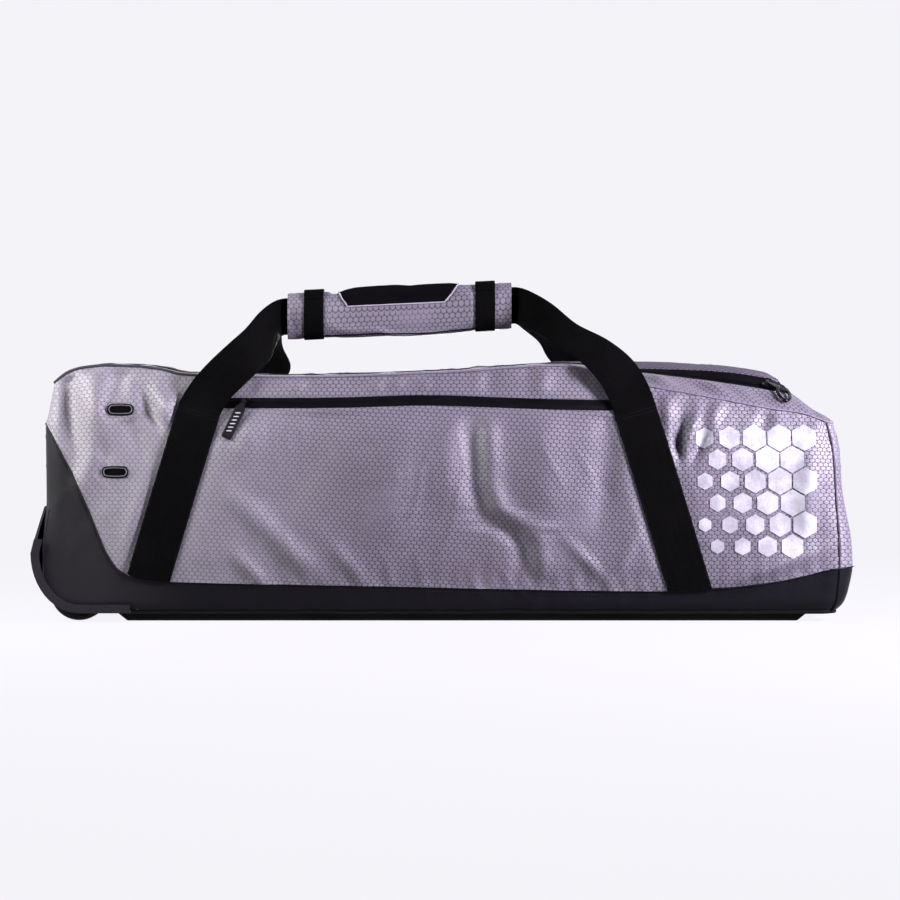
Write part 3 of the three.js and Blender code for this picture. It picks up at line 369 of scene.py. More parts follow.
# The sides meet at shared corner samples, so the loop leaves out each side's last one
LOOP = Plan(*[np.concatenate([column[:-1] for column in columns]) for columns in zip(*PLAN.values())])


def ripple(s, pitch, seed):
    """Smooth uneven wave along a seam, about one unit high."""
    rng = np.random.default_rng(seed)
    wave = np.zeros(np.shape(s))
    for _ in range(4):
        wave = wave + np.sin(2 * math.pi * s / (pitch * rng.uniform(0.7, 1.9)) + rng.uniform(0, 6.28))
    return wave / 2.2


def fold_depth(x, z, folds):
    """Height of all soft folds of a table at places on a wall."""
    depth = 0
    for k in range(len(folds["x"])):
        turn = math.radians(folds["turn"][k])
        dx, dz = x - folds["x"][k], z - folds["z"][k]
        along = dx * math.cos(turn) + dz * math.sin(turn)
        across = dz * math.cos(turn) - dx * math.sin(turn)
        spread = (along / folds["reach"][k]) ** 2 + (across / folds["width"][k]) ** 2
        depth = depth + folds["depth"][k] * np.exp(-spread)
    return depth


def zip_sway(x):
    """Rise of the pocket's zip line over its height at the slider."""
    crest = ZIP_SWAY.crest * np.exp(-(((x - ZIP_SWAY.crest_x) / ZIP_SWAY.reach) ** 2))
    return crest - ZIP_SWAY.drop * smoothstep(x, ZIP_SWAY.drop_start, ZIP_SWAY.drop_end)


def leg_x(leg, z):
    """Place along the wall of the middle of a strap's leg at a height."""
    return leg.foot_x + (z - leg.foot_z) / (leg.head_z - leg.foot_z) * (leg.head_x - leg.foot_x)


def strap_freedom(x, z):
    """How freely a wall may fold: not at all under the carry straps, and fully away from them."""
    freedom = 1
    for leg in (LEFT_LEG, RIGHT_LEG):
        away = np.abs(x - leg_x(leg, z))
        freedom = freedom * smoothstep(away / WEBBING_WIDTH, *STRAP_HOLD)
    return freedom


def front_freedom(x, z):
    """How freely the front wall may fold: held at the straps, vents, pocket zip and top seam."""
    freedom = strap_freedom(x, z)
    for vent_x, vent_z in VENT_PLACES.values():
        away = np.hypot(x - vent_x, VENT_SQUASH * (z - vent_z))
        freedom = freedom * smoothstep(away / VENT.length, *VENT_HOLD)
    off_zip = smoothstep(np.abs(z - POCKET_ZIP_Z - zip_sway(x)) / POCKET_ZIP_HEIGHT, *ZIP_HOLD)
    right_of_leg = smoothstep(x, LEFT_LEG.head_x, LEFT_LEG.head_x + POCKET_EDGE)
    left_of_leg = 1 - smoothstep(x, RIGHT_LEG.head_x - POCKET_EDGE, RIGHT_LEG.head_x)
    freedom = freedom * (1 - right_of_leg * left_of_leg * (1 - off_zip))
    return freedom * smoothstep(seam_top(x) - z, *TOP_HOLD)


def seam_pucker(s, away, height, pitch, reach, seed):
    """Small gathers that start at a seam and die out within a reach of it."""
    return height * ripple(s, pitch, seed) * np.exp(-np.abs(away) / reach) * smoothstep(away, 0, 5)


def sweep_fold(x, z):
    """A valley and the rise to its right, along a course that bends across the pocket."""
    course = eased(SWEEP_COURSE, "z", "x", z)
    lean = eased(SWEEP_COURSE, "z", "x", z + 1) - course
    away = (x - course) / np.hypot(1, lean) / SWEEP_WIDTH
    ends = smoothstep(z, *SWEEP_FOOT) * (1 - smoothstep(z, *SWEEP_HEAD))
    return SWEEP_DEPTH * away * np.exp((1 - away**2) / 2) * ends


def crumple(x, z):
    """Fine creases of thin cloth: crossing ridged waves that come and go over the wall."""
    total = 0
    for turn, pitch, height, seed in zip(*CREASES.values()):
        turn, seed = math.radians(turn), int(seed)
        across = x * math.sin(turn) - z * math.cos(turn)
        along = x * math.cos(turn) + z * math.sin(turn)
        sway = CREASE_SWAY * ripple(along, pitch=150, seed=seed)
        presence = smoothstep(ripple(along + 0.6 * across, pitch=260, seed=seed + 10), -0.3, 0.9)
        ridge = 1 - 2 * np.abs(np.tanh(1.4 * ripple(across + sway, pitch, seed + 20)))
        total = total + height * presence * ridge
    return total


def front_relief(x, z):
    """Folds, creases and seam gathers of the front wall, as heights outwards."""
    relief = FOLD_GAIN * fold_depth(x, z, FRONT_FOLDS) + sweep_fold(x, z) + CRUMPLE_GAIN * crumple(x, z)
    relief = relief * front_freedom(x, z)
    gathers = seam_pucker(x, z - skirt_top(x), height=1.0, pitch=27, reach=20, seed=3)
    gathers = gathers + seam_pucker(x, seam_top(x) - z, height=1.3, pitch=34, reach=18, seed=5)
    return relief + gathers * strap_freedom(x, z)


def back_relief(x, z):
    """Folds, creases and seam gathers of the back wall, as heights outwards."""
    relief = FOLD_GAIN * fold_depth(x, z, BACK_FOLDS) + CRUMPLE_GAIN * crumple(-x, z)
    relief = relief * smoothstep(seam_top(x) - z, *BACK_TOP_HOLD)
    gathers = seam_pucker(x, z - skirt_top(x), height=1.0, pitch=29, reach=20, seed=11)
    gathers = gathers + seam_pucker(x, seam_top(x) - z, height=1.3, pitch=31, reach=18, seed=12)
    return (relief + gathers) * strap_freedom(x, z)


def end_relief(y, z):
    """Soft swells and seam gathers of an end wall, as heights outwards."""
    edge = HALF_DEPTH - CORNER_RADIUS - np.abs(y)
    soft = 2.0 * ripple(z + 0.35 * y, pitch=95, seed=21) * smoothstep(edge, 0, 60)
    return soft + seam_pucker(z, edge, height=1.4, pitch=26, reach=22, seed=22)


def skin_offset(x, nx, ny, z):
    """Outward offset of the skin from its plan outline at a height."""
    t = np.clip((z - BASE_Z) / (seam_top(x) - BASE_Z), 0, 1)
    near_end = smoothstep(HALF_LENGTH - np.abs(x), 0, END_EASE)
    lean = TOP_LEAN * np.maximum(0, (t - TOP_LEAN_START) / (1 - TOP_LEAN_START)) ** 2
    side = SIDE_SWELL * near_end * np.sin(math.pi * t) - lean
    end = np.where(nx > 0, eased(FAR_END_LEAN, "z", "out", z), eased(WHEEL_END_LEAN, "z", "out", z))
    below = np.maximum(0, BASE_Z + BASE_ROUND - z)
    rounding = BASE_ROUND - np.sqrt(np.maximum(0, BASE_ROUND**2 - below**2))
    square = CORNER_RADIUS * (1 / np.maximum(np.abs(nx), np.abs(ny)) - 1)
    below_guard_top = 1 - smoothstep(z, GUARD_TURN_Z, GUARD_TOP_Z + GUARD_FADE)
    in_guard = np.where(nx < 0, CORNER_FILL * below_guard_top, 0)
    return nx**2 * end + ny**2 * side - rounding + in_guard * square


def skin(x, y, nx, ny, side, z, inset):
    """Points of the body's skin over plan samples, a stated depth inside it, with its folds."""
    x, y, nx, ny, side, z = np.broadcast_arrays(x, y, nx, ny, side, np.asarray(z, float))
    step = 0.5
    offset = skin_offset(x, nx, ny, z)
    slope = (skin_offset(x, nx, ny, z + step) - skin_offset(x, nx, ny, z - step)) / (2 * step)
    facing = unit(np.stack([nx, ny, -slope], -1))
    px, py = x + nx * offset, y + ny * offset
    long_side = np.maximum(0, 2 * ny**2 - 1)
    end_side = np.maximum(0, 2 * nx**2 - 1)
    relief = np.where(side == FRONT, front_relief(px, z) * long_side, 0)
    relief = np.where(side == BACK, back_relief(px, z) * long_side, relief)
    relief = np.where((side == FAR) | (side == WHEEL), end_relief(py, z) * end_side, relief)
    return np.stack([px, py, z], -1) + facing * (relief - inset)[..., None]


def wall(plan, z, inset):
    """Points of the skin at samples of the plan."""
    return skin(plan.x, plan.y, plan.nx, plan.ny, plan.side, z, inset)


def front(x, z, inset):
    """Points of the front wall's skin at places along it and heights."""
    return skin(x, -HALF_DEPTH, 0.0, -1.0, FRONT, z, inset)


def top_height(x, y):
    """Height of the bag's top: the seam at the sides, rising to the ridge along the middle."""
    across = np.minimum(1, np.abs(y) / (HALF_DEPTH - TOP_LEAN))
    return seam_top(x) + (ridge_top(x) - seam_top(x)) * (1 - across**2.3)


def wall_top(plan):
    """Height of the top edge of a wall, found where the skin meets the top."""
    z = seam_top(plan.x)
    for _ in range(3):
        offset = skin_offset(plan.x, plan.nx, plan.ny, z)
        z = top_height(plan.x + plan.nx * offset, plan.y + plan.ny * offset)
    return z


def skirt_foot(plan):
    """Height of the skirt's lower edge: round the base, and clear of the moulded corner."""
    plain = BASE_Z + BASE_ROUND * (1 - math.sin(BASE_ROUND_TURN))
    clear = MOULDED + SKIRT_CLEARANCE
    x = plan.x + plan.nx * skin_offset(plan.x, plan.nx, plan.ny, np.full_like(plan.x, GUARD_TURN_Z))
    run = np.maximum(0, GUARD_TURN_X - x) / (GUARD_TURN_X - GUARD_LEFT - clear)
    drop = (GUARD_TURN_Z - GUARD_BOTTOM - clear) * np.sqrt(np.maximum(0, 1 - run**2))
    past_guard = smoothstep(plan.x, GUARD_RIGHT, GUARD_RIGHT + GUARD_BLEND)
    foot = (GUARD_TURN_Z - drop) * (1 - past_guard) + plain * past_guard
    behind_plate = (plan.side == WHEEL) & (np.abs(plan.y) < HALF_DEPTH - 0.6 * CORNER_RADIUS)
    return np.where(behind_plate, GUARD_TURN_Z + 2 * MOULDED, foot)


# Mesh building

# UV coordinates are kept positive, so that repeats in the materials never mirror at zero
UV_SHIFT = 4.0
CAPSULE_RINGS = [(-0.8, 0.75), (0, 1.0), (0.8, 0.75)]
CAPSULE_SIDES = 6
STITCH_RADIUS = 0.42
CORD_SIDES = 8


def polygon_object(name, points, faces, uvs=None, sharp=40):
    """Object from points in millimetres and index rows, with one UV pair in metres for each corner."""
    mesh = bpy.data.meshes.new(name)
    mesh.from_pydata((np.asarray(points) * MM).tolist(), [], [list(map(int, face)) for face in faces])
    if uvs is not None:
        layer = mesh.uv_layers.new(name="cloth")
        layer.data.foreach_set("uv", (np.asarray(uvs) * MM + UV_SHIFT).astype(np.float32).ravel())
    mesh.shade_smooth()
    mesh.set_sharp_from_angle(angle=math.radians(sharp))
    mesh.validate()
    mesh.update()
    made = bpy.data.objects.new(name, mesh)
    bpy.context.scene.collection.objects.link(made)
    return made


def sheet_solid(outer, inner, uv, loop=False):
    """Closed sheet between two point grids (columns, rows), as points, quads and a UV for each corner."""
    columns, rows = outer.shape[:2]
    spans = columns if loop else columns - 1
    last, top = columns - 1, rows - 1
    i, j = (grid.ravel() for grid in np.meshgrid(np.arange(spans), np.arange(top), indexing="ij"))
    run, up = np.arange(spans), np.arange(top)

    def quads(*corners):
        return np.stack([joined(*corner) for corner in corners], 1)

    blocks = [
        quads((0, i, j), (0, i + 1, j), (0, i + 1, j + 1), (0, i, j + 1)),
        quads((1, i, j), (1, i, j + 1), (1, i + 1, j + 1), (1, i + 1, j)),
        quads((0, run, 0), (1, run, 0), (1, run + 1, 0), (0, run + 1, 0)),
        quads((0, run, top), (0, run + 1, top), (1, run + 1, top), (1, run, top)),
    ]
    if not loop:
        blocks.append(quads((0, 0, up), (0, 0, up + 1), (1, 0, up + 1), (1, 0, up)))
        blocks.append(quads((0, last, up), (1, last, up), (1, last, up + 1), (0, last, up + 1)))
    corners = np.concatenate(blocks)
    layer, column, row = corners[..., 0], corners[..., 1], corners[..., 2]
    faces = layer * columns * rows + (column % columns) * rows + row
    points = np.concatenate([outer.reshape(-1, 3), inner.reshape(-1, 3)])
    uvs = uv[column, row]
    a, b, c, d = (points[faces[:, k]] for k in range(4))
    volume = np.einsum("ij,ij->", a, np.cross(b, c) + np.cross(c, d))
    if volume < 0:
        faces, uvs = faces[:, ::-1], uvs[:, ::-1]
    return points, faces, uvs


def path_lengths(points):
    """Distance run along each row of points, starting at zero."""
    steps = np.linalg.norm(np.diff(points, axis=0), axis=-1)
    return np.concatenate([np.zeros_like(steps[:1]), np.cumsum(steps, axis=0)])


def grid_uv(points, loop):
    """UV grid in millimetres from the distances run along the columns and up the rows."""
    if loop:
        points = np.concatenate([points, points[:1]])
    middle = points.shape[1] // 2
    u = np.repeat(path_lengths(points[:, middle])[:, None], points.shape[1], 1)
    v = path_lengths(np.swapaxes(points, 0, 1)).T
    return np.stack([u, v], -1)


def resample(path, step):
    """Points at even steps along a path, with the path's direction there."""
    run = path_lengths(path)
    count = max(2, int(run[-1] / step))
    at = (np.arange(count) + 0.5) * run[-1] / count
    points = np.stack([np.interp(at, run, path[:, k]) for k in range(3)], -1)
    ahead = np.stack([np.interp(at + 0.3 * step, run, path[:, k]) for k in range(3)], -1)
    behind = np.stack([np.interp(at - 0.3 * step, run, path[:, k]) for k in range(3)], -1)
    return points, unit(ahead - behind), at


def capsules(centres, along, up, length, radius):
    """Small rounded rods, one for each centre, as points and faces."""
    up = unit(up - np.sum(up * along, -1, keepdims=True) * along)
    side = np.cross(along, up)
    turns = 2 * math.pi * np.arange(CAPSULE_SIDES) / CAPSULE_SIDES
    points = []
    for place, share in CAPSULE_RINGS:
        for turn in turns:
            out = math.cos(turn) * side + math.sin(turn) * up
            points.append(centres + along * place * length / 2 + out * share * radius)
    points.append(centres - along * length / 2)
    points.append(centres + along * length / 2)
    stack = np.stack(points, 1)
    faces, n = [], CAPSULE_SIDES
    for k in range(n):
        nxt = (k + 1) % n
        for ring in range(len(CAPSULE_RINGS) - 1):
            low, high = ring * n, (ring + 1) * n
            faces.append((low + k, low + nxt, high + nxt, high + k))
        pole = len(CAPSULE_RINGS) * n
        faces.append((pole, nxt, k, k))
        faces.append((pole + 1, pole - n + k, pole - n + nxt, pole - n + nxt))
    faces = np.array(faces)
    offsets = np.arange(len(centres))[:, None, None] * stack.shape[1]
    return stack.reshape(-1, 3), (faces[None] + offsets).reshape(-1, 4)


def drop_repeats(faces):
    """Index rows with the doubled corner of each triangle left out."""
    return [tuple(dict.fromkeys(face)) for face in np.asarray(faces).tolist()]


def swept_solid(grid, loop=False):
    """Closed solid from rings of points (ring, place round it), joined end to end or capped."""
    count, sides = grid.shape[:2]
    closed = np.concatenate([grid, grid[:, :1]], 1)
    around = path_lengths(np.swapaxes(closed, 0, 1)).T
    along = np.concatenate([grid, grid[:1]]) if loop else grid
    run = path_lengths(along[:, 0])
    i, j = np.meshgrid(np.arange(count if loop else count - 1), np.arange(sides), indexing="ij")
    corners = [(i, j), (i, j + 1), (i + 1, j + 1), (i + 1, j)]
    faces = np.stack([(a % count) * sides + b % sides for a, b in corners], -1).reshape(-1, 4)
    uvs = np.stack([np.stack([run[a], around[a % count, b]], -1) for a, b in corners], 2).reshape(-1, 2)
    points = grid.reshape(-1, 3)
    a, b, c, d = (points[faces[:, k]] - points.mean(0) for k in range(4))
    volume = np.einsum("ij,ij->", a, np.cross(b, c) + np.cross(c, d))
    faces, uvs = faces.tolist(), uvs.tolist()
    if not loop:
        last = (count - 1) * sides
        for cap in (list(range(sides))[::-1], list(range(last, last + sides))):
            faces.append(cap)
            uvs += [points[k, 1:].tolist() for k in cap]
    if volume < 0:
        flipped, start = [], 0
        for face in faces:
            flipped += uvs[start:start + len(face)][::-1]
            start += len(face)
        faces, uvs = [face[::-1] for face in faces], flipped
    return points, faces, np.array(uvs)


def tube(path, radius, sides, loop=False):
    """Round tube along a path, as points, faces and UVs."""
    path = np.asarray(path, float)
    ahead = np.roll(path, -1, 0) if loop else np.concatenate([path[1:], path[-1:]])
    behind = np.roll(path, 1, 0) if loop else np.concatenate([path[:1], path[:-1]])
    along = unit(ahead - behind)
    normal = np.zeros_like(along)
    normal[0] = unit(np.cross(along[0], (0.31, 0.22, 0.93)))
    for k in range(1, len(along)):
        moved = normal[k - 1] - np.dot(normal[k - 1], along[k]) * along[k]
        normal[k] = moved / np.linalg.norm(moved)
    side = np.cross(along, normal)
    turns = 2 * math.pi * np.arange(sides) / sides
    size = np.broadcast_to(np.asarray(radius, float), (len(path),))[:, None, None]
    ring = np.cos(turns)[None, :, None] * normal[:, None] + np.sin(turns)[None, :, None] * side[:, None]
    return swept_solid(path[:, None] + ring * size, loop)


def join_solids(solids):
    """Several solids as one set of points, faces and UVs."""
    points, faces, uvs, count = [], [], [], 0
    for more_points, more_faces, more_uvs in solids:
        points.append(more_points)
        faces += [[index + count for index in face] for face in np.asarray(more_faces, object).tolist()]
        uvs.append(np.asarray(more_uvs).reshape(-1, 2))
        count += len(more_points)
    return np.concatenate(points), faces, np.concatenate(uvs)


def piece(made, material, slot, body="bag", replaces=()):
    """Finish a piece: its material, the body it rides on and the solids it stands for; its slot is not
    used.
    """
    made.data.materials.append(material)
    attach(made, body)
    if replaces:
        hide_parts(*replaces)
    return made


def cloth_piece(name, outer, inner, material, slot, loop=False, replaces=(), uv=None):
    """A closed sheet of cloth between two point grids, riding on the bag."""
    if uv is None:
        uv = grid_uv(outer, loop)
    made = polygon_object(name, *sheet_solid(outer, inner, uv, loop))
    return piece(made, material, slot, replaces=replaces)


def stitch_piece(name, rows, material, slot, pitch=4.2, length=3.0):
    """Thread stitches along paths; each row is a path and the direction away from the cloth."""
    points, faces, count = [], [], 0
    for path, up in rows:
        centres, along, at = resample(path, pitch)
        run = path_lengths(path)
        away = np.stack([np.interp(at, run, np.broadcast_to(up, path.shape)[:, k]) for k in range(3)], -1)
        made, quads = capsules(centres, along, unit(away), length, STITCH_RADIUS)
        points.append(made)
        faces.append(quads + count)
        count += len(made)
    made = polygon_object(name, np.concatenate(points), drop_repeats(np.concatenate(faces)))
    return piece(made, material, slot)


def tube_piece(name, path, radius, material, slot, loop=False):
    """A seam's cord along a path, riding on the bag."""
    return piece(polygon_object(name, *tube(path, radius, CORD_SIDES, loop)), material, slot)


# Materials, with lengths in metres

WEAVE_PITCH = 0.0075
WEAVE_ROW = 0.0049
CELL_HEIGHT = 1.68


class Shader:
    """Adds nodes to one material and links them on the way."""

    def __init__(self, name):
        self.material = bpy.data.materials.new(name)
        self.material.use_nodes = True
        self.tree = self.material.node_tree
        self.bsdf = self.tree.nodes["Principled BSDF"]

    def put(self, socket, value):
        if isinstance(value, bpy.types.NodeSocket):
            self.tree.links.new(value, socket)
        else:
            socket.default_value = value

    def node(self, kind, inputs=(), **settings):
        made = self.tree.nodes.new(kind)
        for key, value in settings.items():
            setattr(made, key, value)
        for key, value in dict(inputs).items():
            self.put(made.inputs[key], value)
        return made

    def surface(self, **values):
        for key, value in values.items():
            self.put(self.bsdf.inputs[key.replace("_", " ")], value)
        return self.material

    def math(self, operation, a, b=0.0):
        return self.node("ShaderNodeMath", {0: a, 1: b}, operation=operation).outputs[0]

    def vector(self, operation, a, b=(0, 0, 0)):
        made = self.node("ShaderNodeVectorMath", {0: a, 1: b}, operation=operation)
        return made.outputs["Value" if operation in ("DOT_PRODUCT", "LENGTH") else "Vector"]

    def uv(self):
        return self.node("ShaderNodeTexCoord").outputs["UV"]

    def place(self):
        return self.node("ShaderNodeTexCoord").outputs["Object"]

    def noise(self, vector, scale, detail=3.0, roughness=0.5):
        inputs = {"Vector": vector, "Scale": scale, "Detail": detail, "Roughness": roughness}
        return self.node("ShaderNodeTexNoise", inputs).outputs["Fac"]

    def stretch(self, vector, scale):
        return self.vector("MULTIPLY", vector, scale)

    def ramp(self, value, low, high, low_out=0.0, high_out=1.0):
        inputs = {"Value": value, "From Min": low, "From Max": high, "To Min": low_out, "To Max": high_out}
        return self.node("ShaderNodeMapRange", inputs, interpolation_type="SMOOTHSTEP").outputs[0]

    def blend(self, factor, a, b):
        made = self.node("ShaderNodeMix", {"Factor": factor}, data_type="RGBA")
        self.put(made.inputs[6], a)
        self.put(made.inputs[7], b)
        return made.outputs[2]

    def bump(self, height, distance, strength, under=None):
        inputs = {"Height": height, "Distance": distance, "Strength": strength}
        made = self.node("ShaderNodeBump", inputs)
        if under is not None:
            self.put(made.inputs["Normal"], under)
        return made.outputs["Normal"]

    def split(self, vector):
        made = self.node("ShaderNodeSeparateXYZ", {0: vector})
        return made.outputs[0], made.outputs[1], made.outputs[2]


def rgb(red, green, blue):
    """Linear colour with alpha from 0 to 255 display values."""
    def linear(value):
        value = value / 255
        return value / 12.92 if value <= 0.04045 else ((value + 0.055) / 1.055) ** 2.4
    return (linear(red), linear(green), linear(blue), 1.0)


def wave01(shader, coordinate, pitch):
    """Even wave from 0 to 1 along a coordinate."""
    turn = shader.math("MULTIPLY", coordinate, 2 * math.pi / pitch)
    return shader.math("ADD", shader.math("MULTIPLY", shader.math("SINE", turn), 0.5), 0.5)


def cell_distance(shader, uv):
    """Distance from the middle of the nearest round cell of the weave: 0.5 where two cells touch."""
    place = shader.stretch(uv, (1 / WEAVE_PITCH, 1 / (2 * WEAVE_ROW), 0))
    distances = []
    for shift in ((0.0, 0.0, 0.0), (0.5, 0.5, 0.0)):
        cell = shader.vector("FRACTION", shader.vector("ADD", place, shift))
        away = shader.vector("SUBTRACT", cell, (0.5, 0.5, 0.0))
        distances.append(shader.vector("LENGTH", shader.stretch(away, (1.0, CELL_HEIGHT, 0.0))))
    return shader.math("MINIMUM", *distances)


def fabric_material(name, tone, shine):
    """Grey dobby cloth: pale cells in a dark net, fine threads and a soft shine, with painted light that
    pales it towards the wheel end and painted glints on the net.
    """
    def shade_of(red, green, blue):
        return rgb(red * tone, green * tone, blue * tone)

    shader = Shader(name)
    uv = shader.uv()
    cell = shader.ramp(cell_distance(shader, uv), 0.53, 0.33)
    u, v, _ = shader.split(uv)
    threads = shader.math("MULTIPLY", wave01(shader, u, 0.00062), wave01(shader, v, 0.00055))
    patchy = shader.noise(uv, 9.0, 4.0)
    # Painted light: the cloth turns paler towards the wheel end, where the left lamp falls.
    painted_light_end = shader.ramp(shader.split(shader.place())[0], -0.08, -0.36)
    # Painted light on the net: towards the wheel end the dark net is lifted to a pale tone, as where the
    # lamp falls on it.
    lit = shader.math("MULTIPLY", painted_light_end, shader.ramp(shader.noise(uv, 14.0, 2.0), 0.3, 0.7, 0.7, 0.95))
    cells = shader.blend(patchy, shade_of(100, 94, 109), shade_of(128, 121, 138))
    # Painted light: the cells take a paler tone towards the wheel end.
    cells = shader.blend(shader.math("MULTIPLY", painted_light_end, 0.7), cells, shade_of(144, 140, 150))
    gaps = shader.blend(patchy, shade_of(24, 22, 30), shade_of(42, 39, 50))
    # Painted glints: in random patches the dark net is lifted towards a pale tone, like a sheen on the
    # yarn.
    glint = shader.ramp(shader.noise(uv, 11.0, 2.0), 0.5, 0.75, 0.0, 0.6)
    gaps = shader.blend(shader.math("MAXIMUM", lit, glint), gaps, shade_of(108, 103, 117))
    colour = shader.blend(cell, gaps, cells)
    soil = shader.noise(shader.place(), 22.0, 5.0)
    colour = shader.blend(shader.ramp(soil, 0.35, 0.75, 0.0, 0.12), colour, shade_of(70, 64, 78))
    rough = shader.ramp(cell, 0.0, 1.0, 0.8 - 0.18 * shine, 0.72 - 0.26 * shine)
    weave = shader.bump(threads, 0.00012, 0.5)
    relief = shader.bump(cell, 0.00035, 0.7, weave)
    crumple = shader.noise(uv, 38.0, 3.0, 0.55)
    normal = shader.bump(crumple, 0.0035, 0.35, relief)
    return shader.surface(Base_Color=colour, Roughness=rough, Normal=normal,
                          Specular_IOR_Level=0.7 * shine, Sheen_Weight=0.25 * shine,
                          Sheen_Roughness=0.35, Sheen_Tint=rgb(236, 234, 238))


def coated_material():
    """Charcoal coated cloth with a fine leathery grain and faint creases, and painted light that pales it
    at the wheel end.
    """
    shader = Shader("charcoal_coated_cloth")
    uv = shader.uv()
    grain = shader.node("ShaderNodeTexVoronoi", {"Vector": uv, "Scale": 900.0}).outputs["Distance"]
    crease = shader.noise(shader.stretch(uv, (1, 2.5, 1)), 30.0, 5.0, 0.6)
    patch = shader.noise(shader.place(), 7.0, 4.0)
    colour = shader.blend(patch, rgb(10, 9, 14), rgb(16, 15, 21))
    rub = shader.ramp(shader.noise(uv, 70.0, 6.0, 0.7), 0.62, 0.8, 0.0, 0.35)
    colour = shader.blend(rub, colour, rgb(40, 39, 45))
    # Painted light: the cloth turns paler at the wheel end, where the left lamp falls.
    painted_light_end = shader.ramp(shader.split(shader.place())[0], -0.30, -0.46, 0.0, 0.8)
    colour = shader.blend(painted_light_end, colour, shader.blend(patch, rgb(36, 35, 38), rgb(46, 45, 49)))
    rough = shader.ramp(patch, 0.3, 0.7, 0.44, 0.58)
    normal = shader.bump(crease, 0.002, 0.35, shader.bump(grain, 0.00025, 0.5))
    return shader.surface(Base_Color=colour, Roughness=rough, Normal=normal, Specular_IOR_Level=0.1)


def webbing_material():
    """Black woven webbing: chevron ribs across the band, lighter worn threads, matt shine."""
    shader = Shader("black_webbing")
    uv = shader.uv()
    u, v, _ = shader.split(uv)
    zigzag = shader.math("PINGPONG", u, 0.0042)
    slant = shader.math("ADD", v, shader.math("MULTIPLY", zigzag, 0.55))
    ribs = wave01(shader, slant, 0.0021)
    threads = wave01(shader, u, 0.00105)
    weave = shader.math("MULTIPLY", ribs, shader.math("ADD", shader.math("MULTIPLY", threads, 0.6), 0.4))
    patch = shader.noise(shader.place(), 16.0, 4.0)
    fuzz = shader.noise(uv, 900.0, 3.0)
    colour = shader.blend(weave, rgb(2, 2, 2), rgb(9, 8, 10))
    colour = shader.blend(shader.ramp(patch, 0.45, 0.8, 0.0, 0.35), colour, rgb(17, 16, 19))
    normal = shader.bump(fuzz, 0.0002, 0.3, shader.bump(weave, 0.0006, 0.8))
    rough = shader.ramp(weave, 0.0, 1.0, 0.85, 0.62)
    return shader.surface(Base_Color=colour, Roughness=rough, Normal=normal, Specular_IOR_Level=0.03)


def zip_material():
    """Black zip tape: a tight twill under a thin smooth film."""
    shader = Shader("black_zip_tape")
    uv = shader.uv()
    u, v, _ = shader.split(uv)
    twill = wave01(shader, shader.math("ADD", u, v), 0.0011)
    patch = shader.noise(shader.place(), 30.0, 3.0)
    colour = shader.blend(twill, rgb(5, 5, 7), rgb(11, 10, 14))
    colour = shader.blend(shader.ramp(patch, 0.4, 0.8, 0.0, 0.3), colour, rgb(17, 15, 21))
    normal = shader.bump(twill, 0.0003, 0.5)
    rough = shader.ramp(patch, 0.3, 0.7, 0.42, 0.6)
    return shader.surface(Base_Color=colour, Roughness=rough, Normal=normal, Specular_IOR_Level=0.05)


def mesh_material():
    """Black spacer mesh: rows of small holes in a knit."""
    shader = Shader("black_spacer_mesh")
    uv = shader.uv()
    u, v, _ = shader.split(uv)
    across = wave01(shader, u, 0.0026)
    stagger = wave01(shader, shader.math("ADD", v, shader.math("MULTIPLY", u, 0.5)), 0.0022)
    holes = shader.ramp(shader.math("MULTIPLY", across, stagger), 0.35, 0.7)
    fuzz = shader.noise(uv, 700.0, 3.0)
    colour = shader.blend(holes, rgb(12, 11, 14), rgb(2, 2, 2))
    colour = shader.blend(shader.ramp(fuzz, 0.4, 0.7, 0.0, 0.4), colour, rgb(16, 15, 19))
    normal = shader.bump(fuzz, 0.0002, 0.3, shader.bump(holes, -0.0009, 0.9))
    return shader.surface(Base_Color=colour, Roughness=0.8, Normal=normal, Specular_IOR_Level=0.02)


def moulded_material(name, dark, light, rough_low, rough_high):
    """Moulded plastic or rubber: spark-eroded grain, faint flow marks and scuffs."""
    shader = Shader(name)
    place = shader.place()
    grain = shader.noise(place, 1600.0, 2.0)
    flow = shader.noise(shader.stretch(place, (1, 3, 1)), 14.0, 4.0)
    colour = shader.blend(flow, dark, light)
    scuff = shader.noise(shader.stretch(place, (1, 9, 9)), 55.0, 6.0, 0.75)
    worn = shader.ramp(scuff, 0.62, 0.78, 0.0, 0.35)
    colour = shader.blend(worn, colour, light)
    rough = shader.ramp(flow, 0.3, 0.7, rough_low, rough_high)
    normal = shader.bump(scuff, 0.0002, 0.3, shader.bump(grain, 0.00012, 0.5))
    return shader.surface(Base_Color=colour, Roughness=rough, Normal=normal, Specular_IOR_Level=0.1)


def metal_material(name, dark, light):
    """Die-cast metal with a light tumble finish."""
    shader = Shader(name)
    place = shader.place()
    cloud = shader.noise(place, 180.0, 4.0)
    colour = shader.blend(cloud, dark, light)
    rough = shader.ramp(cloud, 0.3, 0.7, 0.18, 0.36)
    normal = shader.bump(shader.noise(place, 2600.0, 2.0), 0.00008, 0.4)
    return shader.surface(Base_Color=colour, Roughness=rough, Normal=normal, Metallic=1.0)


